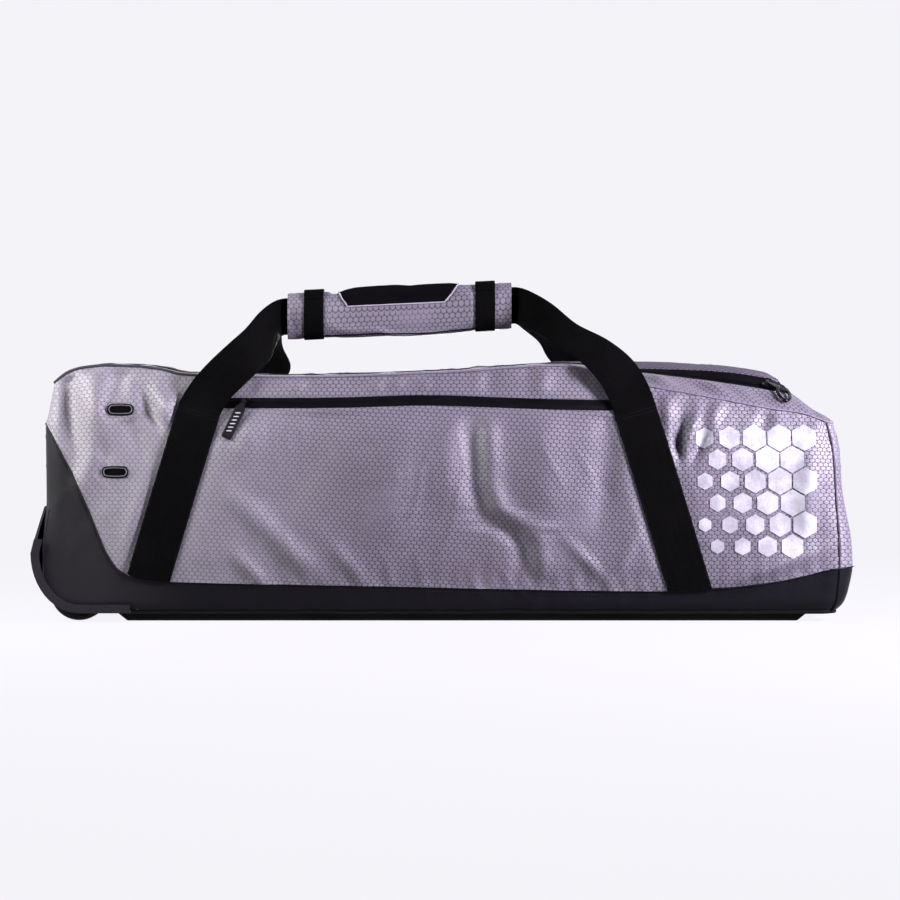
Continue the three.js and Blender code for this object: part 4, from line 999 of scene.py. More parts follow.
def foil_material():
    """Silver foil pressed onto the cloth, with the weave and small creases showing through, and painted
    shade in the hollows of the creases.
    """
    shader = Shader("silver_foil")
    uv = shader.uv()
    cell = shader.ramp(cell_distance(shader, uv), 0.54, 0.4)
    crease = shader.noise(uv, 34.0, 5.0, 0.6)
    fine = shader.noise(uv, 260.0, 4.0, 0.6)
    # Painted shade: the foil is darker in the hollows of its creases, where the crease height is low.
    colour = shader.blend(shader.ramp(crease, 0.35, 0.7), rgb(176, 174, 186), rgb(212, 211, 219))
    rough = shader.ramp(fine, 0.3, 0.7, 0.26, 0.42)
    creased = shader.bump(crease, 0.004, 0.4, shader.bump(fine, 0.0001, 0.3))
    normal = shader.bump(cell, 0.0001, 0.2, creased)
    return shader.surface(Base_Color=colour, Roughness=rough, Normal=normal, Metallic=0.3)


def thread_material(name, dark, light):
    """Twisted sewing thread."""
    shader = Shader(name)
    place = shader.place()
    twist = wave01(shader, shader.vector("DOT_PRODUCT", place, (1.0, 0.7, 0.8)), 0.0009)
    colour = shader.blend(twist, dark, light)
    rough = shader.ramp(shader.noise(place, 300.0), 0.3, 0.7, 0.5, 0.7)
    return shader.surface(Base_Color=colour, Roughness=rough, Normal=shader.bump(twist, 0.0002, 0.6),
                          Specular_IOR_Level=0.1)


def piping_material(name, painted_shade_tone, pale_tone):
    """Covered cord of plain twill, with painted shade that darkens it towards the wheel end, where the top
    seam is rolled over.
    """
    shader = Shader(name)
    place = shader.place()
    # Painted shade: the cord turns darker towards the wheel end.
    far = shader.ramp(shader.split(place)[0], -0.335, -0.26)
    twill = wave01(shader, shader.vector("DOT_PRODUCT", place, (1.0, 0.6, 0.9)), 0.0012)
    dark = shader.blend(twill, rgb(*(painted_shade_tone * 0.8)), rgb(*(painted_shade_tone * 1.1)))
    pale = shader.blend(twill, rgb(*(pale_tone * 0.88)), rgb(*(pale_tone * 1.1)))
    return shader.surface(Base_Color=shader.blend(far, dark, pale), Roughness=0.6, Specular_IOR_Level=0.3,
                          Normal=shader.bump(twill, 0.0003, 0.5))


CLOTH = fabric_material("dobby_cloth", tone=1.0, shine=1.0)
# Painted shade: the lid is a darker copy of the same cloth, standing in for the shade on its top.
PAINTED_SHADE_LID_CLOTH = fabric_material("dobby_lid_cloth_painted_shade", tone=0.82, shine=0.1)
COATING = coated_material()
BLACK_WEBBING = webbing_material()
ZIP_TAPE = zip_material()
SPACER_MESH = mesh_material()
GUARD_PLASTIC = moulded_material("guard_plastic", rgb(33, 32, 36), rgb(45, 44, 49), 0.38, 0.52)
RUNNER_PLASTIC = moulded_material("runner_plastic", rgb(4, 4, 5), rgb(9, 8, 10), 0.45, 0.6)
TYRE_RUBBER = moulded_material("tyre_rubber", rgb(14, 14, 15), rgb(23, 22, 25), 0.6, 0.75)
HUB_PLASTIC = moulded_material("hub_plastic", rgb(50, 49, 54), rgb(66, 65, 70), 0.4, 0.55)
PULL_RUBBER = moulded_material("pull_rubber", rgb(18, 17, 21), rgb(28, 27, 32), 0.5, 0.65)
BLACK_NICKEL = metal_material("black_nickel", rgb(26, 25, 28), rgb(48, 47, 51))
FOIL = foil_material()
# Pale plastic for the painted highlight on the vents' rings.
RIM_HIGHLIGHT_PAINT = moulded_material("painted_rim_highlight", rgb(112, 112, 118), rgb(142, 142, 148), 0.25, 0.35)
PULL_MARK = moulded_material("pull_mark", rgb(196, 196, 200), rgb(226, 226, 230), 0.5, 0.65)
GREY_THREAD = thread_material("grey_thread", rgb(92, 86, 102), rgb(146, 139, 158))
PALE_PIPING = thread_material("pale_piping", rgb(150, 143, 160), rgb(186, 179, 195))
BLACK_THREAD = thread_material("black_thread", rgb(6, 6, 7), rgb(22, 21, 25))
# The top seam's cord, with painted shade at the wheel end.
PIPING = piping_material("piping_cloth", np.array([60, 55, 68]), np.array([120, 113, 132]))
CORNER_PIPING = piping_material("corner_piping_cloth", np.array([60, 55, 68]), np.array([74, 68, 84]))
BINDING = moulded_material("binding_cloth", rgb(5, 5, 6), rgb(10, 9, 12), 0.6, 0.75)


# Soft shell

def rows_between(low, high, count):
    """Heights from low to high for each column, count rows."""
    return low + (high - low) * np.linspace(0, 1, count)[None, :]


def build_walls():
    """The four cloth walls above the skirt."""
    sides = {
        "front": (FRONT, 84, "front_panel"),
        "far_end": (FAR, 64, "far_end_panel"),
        "back": (BACK, 64, "back_panel"),
        "wheel_end": (WHEEL, 26, "wheel_end_panel"),
    }
    for name, (side, rows, node) in sides.items():
        plan = PLAN[side]
        z = rows_between(skirt_top(plan.x) + SEAM_GAP, wall_top(plan), rows)
        run = path_lengths(np.concatenate([plan.x, plan.y], 1))
        uv = np.stack([np.broadcast_to(run[:, None], z.shape), z], -1)
        cloth_piece(f"{name}_cloth", wall(plan, z, 0), wall(plan, z, FABRIC), CLOTH, "grey_fabric",
                    replaces=[node], uv=uv)


def build_skirt():
    """Coated skirt round the foot of the walls."""
    z = rows_between(skirt_foot(LOOP), skirt_top(LOOP.x), 30)
    cloth_piece("skirt_cloth", wall(LOOP, z, 0), wall(LOOP, z, COATED), COATING, "coated_cloth",
                loop=True, replaces=["base_skirt"])


def build_base():
    """Floor panel inside the skirt's lower edge, from the moulded corner to the far end."""
    edge = BASE_ROUND * (1 - math.cos(BASE_ROUND_TURN)) + BASE_EDGE_GAP
    right = HALF_LENGTH - edge + FAR_END_LEAN["out"][0]
    left = GUARD_RIGHT + BASE_GUARD_GAP
    turn_x = right - BASE_CORNER
    round_end = turn_x + BASE_CORNER * np.sin(np.linspace(0.1, 1.5, 14))
    x = np.concatenate([np.linspace(left, turn_x, 90), round_end])
    past = np.maximum(0, x - turn_x)
    half = HALF_DEPTH - edge - BASE_CORNER + np.sqrt(np.maximum(0, BASE_CORNER**2 - past**2))
    v = np.linspace(-1, 1, 40)
    y = half[:, None] * v[None, :]
    plan_x = np.broadcast_to(x[:, None], y.shape)
    uneven = BASE_UNEVEN * (1 + ripple(plan_x, pitch=80, seed=31)) * (1 - v[None, :] ** 2)
    bottom = np.stack([plan_x, y, BASE_Z + uneven], -1)
    upper = np.stack([plan_x, y, np.full_like(y, BASE_Z + BASE_THICKNESS)], -1)
    cloth_piece("base_cloth", bottom, upper, COATING, "coated_cloth", replaces=["base_panel"])


def lid_outline(plan, grow):
    """Places on the lid's outline, grown by a distance, that answer to samples of the bag's plan."""
    left, right = LID_LEFT - grow, LID_RIGHT + grow
    depth, corner = LID_HALF_DEPTH + grow, LID_CORNER + grow
    middle = (left + right) / 2
    half_x, half_y = (right - left) / 2 - corner, depth - corner
    along = np.clip(plan.x / (HALF_LENGTH - CORNER_RADIUS), -1, 1)
    across = np.clip(plan.y / (HALF_DEPTH - CORNER_RADIUS), -1, 1)
    x = middle + along * half_x + plan.nx * corner
    y = across * half_y + plan.ny * corner
    return np.concatenate([x, y], 1)


def lid_stand(x):
    """How far the lid's edge stands above the strip round it: most near the far end."""
    rise = smoothstep(x, *LID_STAND_RISE)
    return LID_STAND * rise * (1 - LID_STAND_LOSS * smoothstep(x, *LID_STAND_FALL))


def top_points(place, rise):
    """Points over places in plan, a height above the bag's top."""
    z = top_height(place[..., 0], place[..., 1]) + rise
    return np.concatenate([place, z[..., None]], -1)


def build_gusset():
    """Strip from the walls to the lid's zip, with small gathers along its sides."""
    rims = wall(LOOP, wall_top(LOOP), 0)[:, 0, :2]
    share = np.linspace(0, 1, 14)
    inside = lid_outline(LOOP, ZIP_WIDTH + SEAM_GAP)
    place = rims[:, None] + (inside - rims)[:, None] * share[None, :, None]
    belly = np.sin(math.pi * share)[None, :]
    x = place[..., 0]
    along = x + 0.5 * place[..., 1]
    gather = GUSSET_GATHER + GUSSET_FAR_GATHER * smoothstep(x, *GUSSET_FAR)
    soft = gather * ripple(along, pitch=46, seed=41) * belly
    lift = soft * smoothstep(np.abs(place[..., 1]), *GUSSET_FREE)
    outer = top_points(place, TOP_GAP + FABRIC + lift)
    inner = top_points(place, TOP_GAP + lift)
    flat = np.concatenate([outer, outer[:1]])[..., :2]
    cloth_piece("top_gusset_cloth", outer, inner, CLOTH, "grey_fabric", loop=True,
                replaces=["top_gusset"], uv=flat)


def build_lid_zip():
    """Zip tape round the lid, raised along its middle, with the coil on it."""
    profile = table("share rise", mirrored([
        (-0.5, 0), (-0.38, 0.05), (-0.2, 0.1), (-0.12, 0.7), (-0.04, 1.1), (-0.01, 0.9), (0, 0.6),
    ]))
    rings = [lid_outline(LOOP, ZIP_WIDTH * (0.5 - share)) for share in profile["share"]]
    place = np.stack(rings, 1)
    stand = lid_stand(place[..., 0]) * smoothstep(profile["share"], 0.04, 0.5)[None, :]
    outer = top_points(place, TOP_GAP + ZIP_THICKNESS + profile["rise"][None, :] * COIL_RISE + stand)
    inner = top_points(place, TOP_GAP + stand)
    cloth_piece("lid_zip_tape", outer, inner, ZIP_TAPE, "zip_tape", loop=True, replaces=["lid_zip"])
    middle = top_points(lid_outline(LOOP, ZIP_WIDTH / 2), TOP_GAP + ZIP_THICKNESS + COIL_RISE + 0.1)
    coil_piece("lid_zip_coil", np.concatenate([middle, middle[:1]]))


def build_lid():
    """Crowned and lightly crumpled lid with a hem, its edge standing up near the far end."""
    edge = lid_outline(PLAN[FRONT], -SEAM_GAP)
    corner_left = lid_outline(PLAN[WHEEL], -SEAM_GAP)[-CORNER_STEPS - 1:-1]
    corner_right = lid_outline(PLAN[FAR], -SEAM_GAP)[1:CORNER_STEPS + 1]
    edge = np.concatenate([corner_left, edge, corner_right])
    v = np.linspace(1, -1, 44)
    place = np.stack([np.broadcast_to(edge[:, :1], (len(edge), len(v))), edge[:, 1:] * v[None, :]], -1)
    x, y = place[..., 0], place[..., 1]
    crown = LID_CROWN * (1 - v**2)[None, :] * (1 + 0.8 * ripple(x + 0.4 * y, pitch=120, seed=43))
    loose = smoothstep(1 - np.abs(v), 0.05, 0.35)[None, :] * smoothstep(LID_RIGHT - x, 10, 60)
    crown = crown + LID_CRUMPLE * crumple(x, 1.6 * y + 150) * loose
    hem = LID_HEM * smoothstep(np.abs(v), 0.86, 0.93) * (1 - smoothstep(np.abs(v), 0.98, 1.0))
    stand = lid_stand(x) * smoothstep(np.abs(v), 0.2, 1.0)[None, :]
    outer = top_points(place, TOP_GAP + LID_THICKNESS + crown + hem[None, :] + stand)
    inner = top_points(place, TOP_GAP + stand)
    cloth_piece("lid_cloth", outer, inner, PAINTED_SHADE_LID_CLOTH, "grey_fabric", replaces=["lid"], uv=outer[..., :2])


def coil_piece(name, path):
    """Zip coil: short rods side by side across the zip."""
    centres, along, _ = resample(path, step=1.9)
    up = np.broadcast_to(np.array([0.0, 0.0, 1.0]), centres.shape)
    across = unit(np.cross(up, along))
    points, faces = capsules(centres, across, up, length=4.8, radius=0.62)
    made = polygon_object(name, points, drop_repeats(faces))
    return piece(made, ZIP_TAPE, "zip_tape")


def build_pocket():
    """Pocket layer between the straps: full in its middle, hemmed and stitched along its mouth."""
    columns, rows = 230, 80
    s = np.linspace(0, 1, columns)[:, None]
    lean = np.linspace(0, 1, rows)[None, :]
    low_x = leg_x(LEFT_LEG, POCKET_LEFT_FOOT) * (1 - s) + leg_x(RIGHT_LEG, POCKET_RIGHT_FOOT) * s
    high_x = leg_x(LEFT_LEG, POCKET_TOP) * (1 - s) + leg_x(RIGHT_LEG, POCKET_TOP) * s
    top = POCKET_TOP + zip_sway(high_x)
    z = skirt_top(low_x) + SEAM_GAP + (top - skirt_top(low_x) - SEAM_GAP) * lean
    x = leg_x(LEFT_LEG, z) * (1 - s) + leg_x(RIGHT_LEG, z) * s
    full = POCKET_FULLNESS * strap_freedom(x, z)
    full = full * smoothstep(top - z, 0, POCKET_EASE) * smoothstep(z - skirt_top(x), 0, POCKET_EASE)
    hem = smoothstep(top - z, *POCKET_HEM_FOOT) * (1 - smoothstep(top - z, *POCKET_HEM_HEAD))
    hem = POCKET_HEM * hem
    outer = front(x, z, -POCKET_GAP - POCKET_THICKNESS - full - hem)
    inner = front(x, z, -POCKET_GAP - full)
    grain = np.stack([x - POCKET_GRAIN * z, z + POCKET_GRAIN * x], -1)
    cloth_piece("pocket_cloth", outer, inner, CLOTH, "grey_fabric", replaces=["pocket_panel"], uv=grain)
    on_hem = POCKET_GAP + POCKET_THICKNESS + POCKET_STITCH_LIFT
    row = front(x[:, -1], top[:, 0] - POCKET_STITCH_DROP, -on_hem)
    stitch_piece("pocket_hem_stitches", [(row, (0, -1, 0))], GREY_THREAD, "grey_fabric")


def build_pocket_zip():
    """Zip tape at the pocket's mouth, raised along its middle, and the stitch row above it."""
    left, right = LEFT_LEG.head_x - POCKET_ZIP_OVERLAP, RIGHT_LEG.head_x + POCKET_ZIP_OVERLAP
    x = np.linspace(left, right, 200)[:, None]
    profile = table("share rise", mirrored([
        (-0.5, 0), (-0.44, 0.05), (-0.2, 0.15), (-0.12, 0.75), (-0.06, 1.0), (-0.015, 0.85), (0, 0.25),
    ]))
    middle = POCKET_ZIP_Z + zip_sway(x)
    z = middle + profile["share"][None, :] * POCKET_ZIP_HEIGHT
    rise = profile["rise"][None, :] * COIL_RISE
    outer = front(x, z, -LAYER_GAP - ZIP_THICKNESS - rise)
    inner = front(x, z, -LAYER_GAP)
    cloth_piece("pocket_zip_tape", outer, inner, ZIP_TAPE, "zip_tape", replaces=["pocket_zip"])
    upper = front(x[:, 0], middle[:, 0] + POCKET_ZIP_HEIGHT / 2 + POCKET_ZIP_STITCH_GAP, -0.2)
    stitch_piece("pocket_zip_stitches", [(upper, (0, -1, 0))], GREY_THREAD, "grey_fabric")


def build_skirt_seam():
    """Piping where the skirt meets the walls, and the stitch row below it."""
    seam_z = skirt_top(LOOP.x)
    wavy = 0.25 * ripple(path_lengths(wall(LOOP, seam_z, 0)[:, 0]), pitch=30, seed=51)
    path = wall(LOOP, seam_z, -0.3)[:, 0]
    tube_piece("skirt_piping", path, SKIRT_PIPING_RADIUS + wavy, COATING, "coated_cloth", loop=True)
    below = wall(LOOP, np.maximum(seam_z - SEAM_STITCH_DROP, skirt_foot(LOOP) + 2), -0.1)[:, 0]
    outward = np.concatenate([LOOP.nx, LOOP.ny, np.zeros_like(LOOP.nx)], 1)
    stitch_piece("skirt_stitches", [(below, outward)], BLACK_THREAD, "coated_cloth")


def build_top_seam():
    """Piping round the top of the walls, thicker at the wheel end where the seam is rolled over."""
    rims = wall(LOOP, wall_top(LOOP), -0.2)[:, 0]
    rolled = PIPING_RADIUS + PIPING_ROLL * (1 - smoothstep(rims[:, 0], *PIPING_ROLL_END))
    tube_piece("top_piping", rims + np.array([0, 0, 0.6]), rolled, PIPING, "grey_fabric", loop=True)


def build_corner_seams():
    """Piping up the corners: along the skirt at all four, and on to the top at the far end's two."""
    corners = [
        ("front_far", FRONT, 1.6), ("back_far", FAR, 1.6),
        ("back_wheel", BACK, 0.8), ("front_wheel", WHEEL, 0.8),
    ]
    for name, side, size in corners:
        sample = Plan(*[column[-1:] for column in PLAN[side]])
        foot, turn = float(skirt_foot(sample).max()) + 2, float(skirt_top(sample.x).max())
        far = sample.x[0, 0] > 0
        lengths = [("skirt", foot, turn if far else WHEEL_SEAM_TOP, COATING, "coated_cloth")]
        if far:
            top = float(wall_top(sample).max())
            lengths.append(("wall", turn + 1, top - 1, CORNER_PIPING, "grey_fabric"))
        for part, low, high, material, slot in lengths:
            z = np.linspace(low, high, 80)[None, :]
            path = wall(sample, z, -0.3 * size)[0]
            radius = size * (1 + 0.2 * ripple(z[0], pitch=24, seed=61))
            tube_piece(f"corner_piping_{name}_{part}", path, radius, material, slot)


def build_base_binding():
    """Bound edge round the foot of the skirt, clear of the moulded corner."""
    clear_of_guard = LOOP.x[:, 0] > GUARD_RIGHT - BINDING_OVERLAP
    start = int(np.argmax(clear_of_guard))
    low = wall(LOOP, np.full_like(LOOP.x, BINDING_Z), -0.4)[start:, 0]
    tube_piece("base_binding", low[clear_of_guard[start:]], BINDING_RADIUS, BINDING, "coated_cloth")


# Webbing

# Places across a band from edge to edge, and the share of its thickness at them
BAND_SHARES, BAND_FULLNESS = table("share fullness", mirrored([
    (-1, 0.3), (-0.985, 0.65), (-0.94, 0.9), (-0.82, 1.0), (-0.55, 0.97), (-0.25, 0.96), (0, 0.96),
])).values()
# Stitch rows on a band: their places among those above, and a sewn box's margin and steps
EDGE_PLACES = (2, -3)
BOX_MARGIN = 0.16
BOX_STEPS = 14


def grip_z(x):
    """Height of the grip's middle at a place along it."""
    return GRIP_Z_LEFT + (x - GRIP_LEFT) / (GRIP_RIGHT - GRIP_LEFT) * (GRIP_Z_RIGHT - GRIP_Z_LEFT)


def band_points(rows):
    """Points across a free stretch of webbing for rows of place, turn, lean and spread."""
    x, y, z, turn, lean, spread = (np.asarray(column)[:, None] for column in rows)
    a = WEBBING_WIDTH / 2 * spread * BAND_SHARES[None, :]
    turn, lean = np.radians(turn), np.radians(lean)
    level = a * np.cos(lean)
    return np.stack([x + level * np.cos(turn), y - a * np.sin(lean), z - level * np.sin(turn)], -1)


def smooth_rows(rows, steps):
    """Rows of a table eased by a curve through them, a number of steps for each span."""
    rows = np.asarray(rows, float)
    count = len(rows)
    made = []
    for k in range(1, count - 2):
        before, start, end, after = rows[k - 1], rows[k], rows[k + 1], rows[k + 2]
        steps_between = np.diff([before, start, end, after], axis=0)[:, :3]
        spans = np.maximum(1e-6, np.linalg.norm(steps_between, axis=1)) ** 0.5
        t0, t1, t2, t3 = np.concatenate([[0.0], np.cumsum(spans)])
        for t in np.linspace(t1, t2, steps, endpoint=False):
            a1 = (t1 - t) / (t1 - t0) * before + (t - t0) / (t1 - t0) * start
            a2 = (t2 - t) / (t2 - t1) * start + (t - t1) / (t2 - t1) * end
            a3 = (t3 - t) / (t3 - t2) * end + (t - t2) / (t3 - t2) * after
            b1 = (t2 - t) / (t2 - t0) * a1 + (t - t0) / (t2 - t0) * a2
            b2 = (t3 - t) / (t3 - t1) * a2 + (t - t1) / (t3 - t1) * a3
            made.append((t2 - t) / (t2 - t1) * b1 + (t - t1) / (t2 - t1) * b2)
    made.append(rows[count - 2])
    return np.array(made)


def leg_points(leg, inset):
    """Points of a leg on the front wall, from its foot at the skirt seam up to its head."""
    lean = (leg.head_x - leg.foot_x) / (leg.head_z - leg.foot_z)
    turn = math.atan(lean)
    a = (WEBBING_WIDTH / 2 * LEG_SPREAD * BAND_SHARES * (1 if lean > 0 else -1))[None, :]
    foot = skirt_top(leg.foot_x + a * math.cos(turn)) + SEAM_GAP
    head = leg.head_z - a * math.sin(turn)
    z = foot + (head - foot) * np.linspace(0, 1, STRAP_LEG_ROWS)[:, None]
    x = leg.foot_x + a / math.cos(turn) + (z - leg.foot_z) * lean
    return front(x, z, inset)


def strap_rows(inset):
    """Points of a whole strap's inner face: up one leg, over the grip and down the other."""
    legs = [leg_points(LEFT_LEG, inset), leg_points(RIGHT_LEG, inset)[::-1]]
    middle = len(BAND_SHARES) // 2
    entries = [GRIP_LEFT - STRAP_ENTRY, GRIP_RIGHT + STRAP_ENTRY]
    stations = (entries[0], entries[0] + STRAP_GRIP_LEAD, entries[1] - STRAP_GRIP_LEAD, entries[1])
    grip = [(x, -STRAP_MEET, grip_z(x), 90.0, 0.0, 1.0) for x in stations]
    rises = []
    for leg, points, table_rows, ends in (
        (LEFT_LEG, legs[0], LEFT_RISE, grip[:2]),
        (RIGHT_LEG, legs[1][::-1], RIGHT_RISE, grip[:1:-1]),
    ):
        lean = math.degrees(math.atan((leg.head_x - leg.foot_x) / (leg.head_z - leg.foot_z)))
        turn = lean if lean > 0 else 180 + lean
        starts = [(*points[k, middle], turn, 0.0, LEG_SPREAD) for k in (-9, -1)]
        spread = np.interp(table_rows["z"], (leg.head_z, GRIP_Z_LEFT), (LEG_SPREAD, 1.0))
        steps = list(zip(*table_rows.values(), spread))
        climb = steps if leg is LEFT_LEG else steps[::-1]
        rises.append(smooth_rows([*starts, *climb, *ends], STRAP_CURVE_STEPS))
    across = np.linspace(entries[0], entries[1], STRAP_GRIP_ROWS)[1:-1]
    level = np.ones_like(across)
    inside = np.stack([across, -STRAP_MEET * level, grip_z(across), 90 * level, 0 * level, level], -1)
    free = band_points(np.concatenate([rises[0][1:], inside, rises[1][::-1][:-1]]).T)
    settle = 1 - smoothstep(np.arange(STRAP_SETTLE), 0, STRAP_SETTLE)
    for head, stretch in ((legs[0][-1], free[:STRAP_SETTLE]), (legs[1][0], free[:-STRAP_SETTLE - 1:-1])):
        stretch[..., 1] += settle[:, None] * (head[:, 1] - head[middle, 1])[None, :]
    return np.concatenate([legs[0], free, legs[1]])


def ribbon(points, side):
    """Outer and inner faces of a band with rounded edges, thickened to one side of its inner points."""
    middle = points[:, points.shape[1] // 2]
    ahead = np.concatenate([middle[1:], middle[-1:]])
    behind = np.concatenate([middle[:1], middle[:-1]])
    facing = unit(np.cross(ahead - behind, points[:, -1] - points[:, 0])) * side
    for _ in range(3):
        facing[1:-1] = unit(facing[:-2] + 2 * facing[1:-1] + facing[2:])
    half = WEBBING / 2 * BAND_FULLNESS[None, :, None]
    core = points + facing[:, None] * WEBBING / 2
    return core + facing[:, None] * half, core - facing[:, None] * half, facing


def band_uv(points, half):
    """UV grid over a band: across it, then along its middle."""
    run = path_lengths(points[:, points.shape[1] // 2])
    u = np.broadcast_to((BAND_SHARES + 1) * half, points.shape[:2])
    return np.stack([u, np.broadcast_to(run[:, None], points.shape[:2])], -1)


def box_stitches(outer, facing, low, high):
    """Paths of a sewn box with a cross, on the outer face of a band between two of its rows."""
    shares = (BAND_SHARES + 1) / 2

    def at(row, share):
        row = low + row * (high - low)
        k = int(min(math.floor(row), len(outer) - 2))
        line = outer[k] + (outer[k + 1] - outer[k]) * (row - k)
        return np.array([np.interp(share, shares, line[:, axis]) for axis in range(3)])

    def path(start, end):
        share = np.linspace(0, 1, BOX_STEPS)[:, None]
        return np.array([at(*place) for place in start + share * np.subtract(end, start)])

    near, far = BOX_MARGIN, 1 - BOX_MARGIN
    corners = [(0, near), (0, far), (1, far), (1, near), (0, near), (1, far)]
    lines = list(zip(corners[:-1], corners[1:])) + [((1, near), (0, far))]
    away = facing[(low + high) // 2]
    return [(path(a, b), np.broadcast_to(away, (BOX_STEPS, 3))) for a, b in lines]


def edge_stitches(outer, facing, low, high):
    """Paths along both edges of a band's outer face between two of its rows."""
    return [(outer[low:high, k], facing[low:high]) for k in EDGE_PLACES]


def back_draw(x, z):
    """How far the back strap's free rises are drawn in towards the middle of the bag."""
    drawn = smoothstep(z, *BACK_DRAW_START) * (1 - smoothstep(z, *BACK_DRAW_END))
    return -np.sign(x) * BACK_DRAW * drawn


def build_straps():
    """Both carry straps: the front one lies over the pocket's layer, and the back one mirrors it."""
    for name, under, flip in (("strap_front", POCKET_GAP + POCKET_THICKNESS, 1), ("strap_back", 0, -1)):
        points = strap_rows(-under - STRAP_CLEARANCE) * np.array([1, flip, 1])
        if name == "strap_back":
            middle = points[:, len(BAND_SHARES) // 2]
            points[..., 0] += back_draw(middle[:, 0], middle[:, 2])[:, None]
        outer, inner, facing = ribbon(points, -flip)
        cloth_piece(f"{name}_webbing", outer, inner, BLACK_WEBBING, "webbing", replaces=[name],
                    uv=band_uv(points, WEBBING_WIDTH / 2))
        count, head = len(points), STRAP_LEG_ROWS
        rows = edge_stitches(outer, facing, 1, head)
        rows += edge_stitches(outer, facing, count - head, count - 1)
        cross_rows = (head - 3, head - 2, count - head + 2, count - head + 1)
        rows += [(outer[row, 1:-1], facing[row]) for row in cross_rows]
        stitch_piece(f"{name}_stitches", rows, BLACK_THREAD, "webbing", pitch=3.4, length=2.5)


def build_end_handle():
    """Webbing handle across the far end, its feet sewn flat on the wall and its middle standing off."""
    y = np.linspace(-END_HANDLE.reach, END_HANDLE.reach, END_HANDLE_ROWS)[:, None]
    half = END_HANDLE.width / 2
    z = END_HANDLE.z + half * BAND_SHARES[None, :]
    free = END_HANDLE.reach - END_HANDLE.foot
    t = np.clip((free - np.abs(y)) / free, 0, 1)
    off = END_HANDLE.seat + END_HANDLE.stand * smoothstep(t, 0, 0.75)
    x = HALF_LENGTH + eased(FAR_END_LEAN, "z", "out", z) + off
    points = joined(x, y, z)
    outer, inner, facing = ribbon(points, 1)
    cloth_piece("end_handle_webbing", outer, inner, BLACK_WEBBING, "webbing", replaces=["end_handle"],
                uv=band_uv(points, half))
    (low, high), last = END_HANDLE_BOX, END_HANDLE_ROWS - 1
    rows = box_stitches(outer, facing, low, high) + box_stitches(outer, facing, last - high, last - low)
    stitch_piece("end_handle_stitches", rows, BLACK_THREAD, "webbing", pitch=3.4, length=2.5)


# Grip

# Angles round the grip, and the distance run round it at each of them and once more at the start
GRIP_ANGLES = np.linspace(0, 2 * math.pi, GRIP_SIDES, endpoint=False)[:, None]
GRIP_GIRTH = np.arange(GRIP_SIDES + 1)[:, None] * 2 * math.pi * GRIP_MEAN_RADIUS / GRIP_SIDES


def grip_section(angle, x, grow):
    """Points of the grip's rounded section; grow may vary over the grid."""
    power = 2 / GRIP_SQUARENESS
    across = np.sign(np.cos(angle)) * np.abs(np.cos(angle)) ** power
    upward = np.sign(np.sin(angle)) * np.abs(np.sin(angle)) ** power
    y = -across * (GRIP_HALF_DEPTH + grow)
    z = grip_z(x) + upward * (GRIP_HALF_HEIGHT + grow)
    return joined(x, y, z)


def grip_slot(angle, x):
    """Points of the slot in the grip that holds both straps."""
    far = np.maximum(np.abs(np.cos(angle)), np.abs(np.sin(angle)))
    y = -np.cos(angle) / far * GRIP_SLOT_DEPTH
    z = grip_z(x) + np.sin(angle) / far * GRIP_SLOT_HEIGHT
    return joined(x, y, z)


def wrap_pinch(x):
    """How firmly the wrap is held along the grip: fully under each band, and not at all between them."""
    held = np.zeros_like(x)
    for band_x in GRIP_BANDS.values():
        away = np.abs(x - band_x) / GRIP_BAND_WIDTH
        held = np.maximum(held, 1 - smoothstep(away, *BAND_HOLD))
    return held


def simulated_wrap(start, x):
    """Settle the wrap as pressed cloth that is a little too large for its padding, held at the bands."""
    sides, rows = start.shape[:2]
    i, j = (grid.ravel() for grid in np.meshgrid(np.arange(sides), np.arange(rows - 1), indexing="ij"))
    nxt = (i + 1) % sides
    quads = np.stack([i * rows + j, nxt * rows + j, nxt * rows + j + 1, i * rows + j + 1], -1)
    cloth = polygon_object("wrap_settling", start.reshape(-1, 3), quads)
    held = cloth.vertex_groups.new(name="held")
    end = np.minimum(x - GRIP_LEFT, GRIP_RIGHT - x).ravel()
    weight = np.maximum(wrap_pinch(x.ravel()), 1 - smoothstep(end, 1, 5))
    for row in range(rows):
        if weight[row] > 0.01:
            held.add([side * rows + row for side in range(sides)], float(weight[row]), "REPLACE")
    settle = cloth.modifiers.new("settle", "CLOTH")
    settings = settle.settings
    settings.quality = 7
    settings.mass = 0.12
    settings.tension_stiffness = 18
    settings.compression_stiffness = 18
    settings.shear_stiffness = 8
    settings.bending_stiffness = 0.25
    settings.shrink_min = -0.06
    settings.use_pressure = True
    settings.uniform_pressure_force = 5.0
    settings.vertex_group_mass = held.name
    settings.effector_weights.gravity = 0.0
    settle.point_cache.frame_start = 1
    settle.point_cache.frame_end = WRAP_FRAMES
    scene = bpy.context.scene
    for number in range(1, WRAP_FRAMES + 1):
        scene.frame_set(number)
    shaped = cloth.evaluated_get(bpy.context.evaluated_depsgraph_get())
    places = np.empty(len(shaped.data.vertices) * 3, np.float32)
    shaped.data.vertices.foreach_get("co", places)
    scene.frame_set(1)
    mesh = cloth.data
    bpy.data.objects.remove(cloth)
    bpy.data.meshes.remove(mesh)
    moved = places.reshape(start.shape).astype(float) / MM - start
    for _ in range(WRAP_EASE):
        moved = (np.roll(moved, 1, 0) + 2 * moved + np.roll(moved, -1, 0)) / 4
        moved[:, 1:-1] = (moved[:, :-2] + 2 * moved[:, 1:-1] + moved[:, 2:]) / 4
    length = np.linalg.norm(moved, axis=-1, keepdims=True)
    return start + moved * np.minimum(1, WRAP_REACH / np.maximum(length, 1e-6))


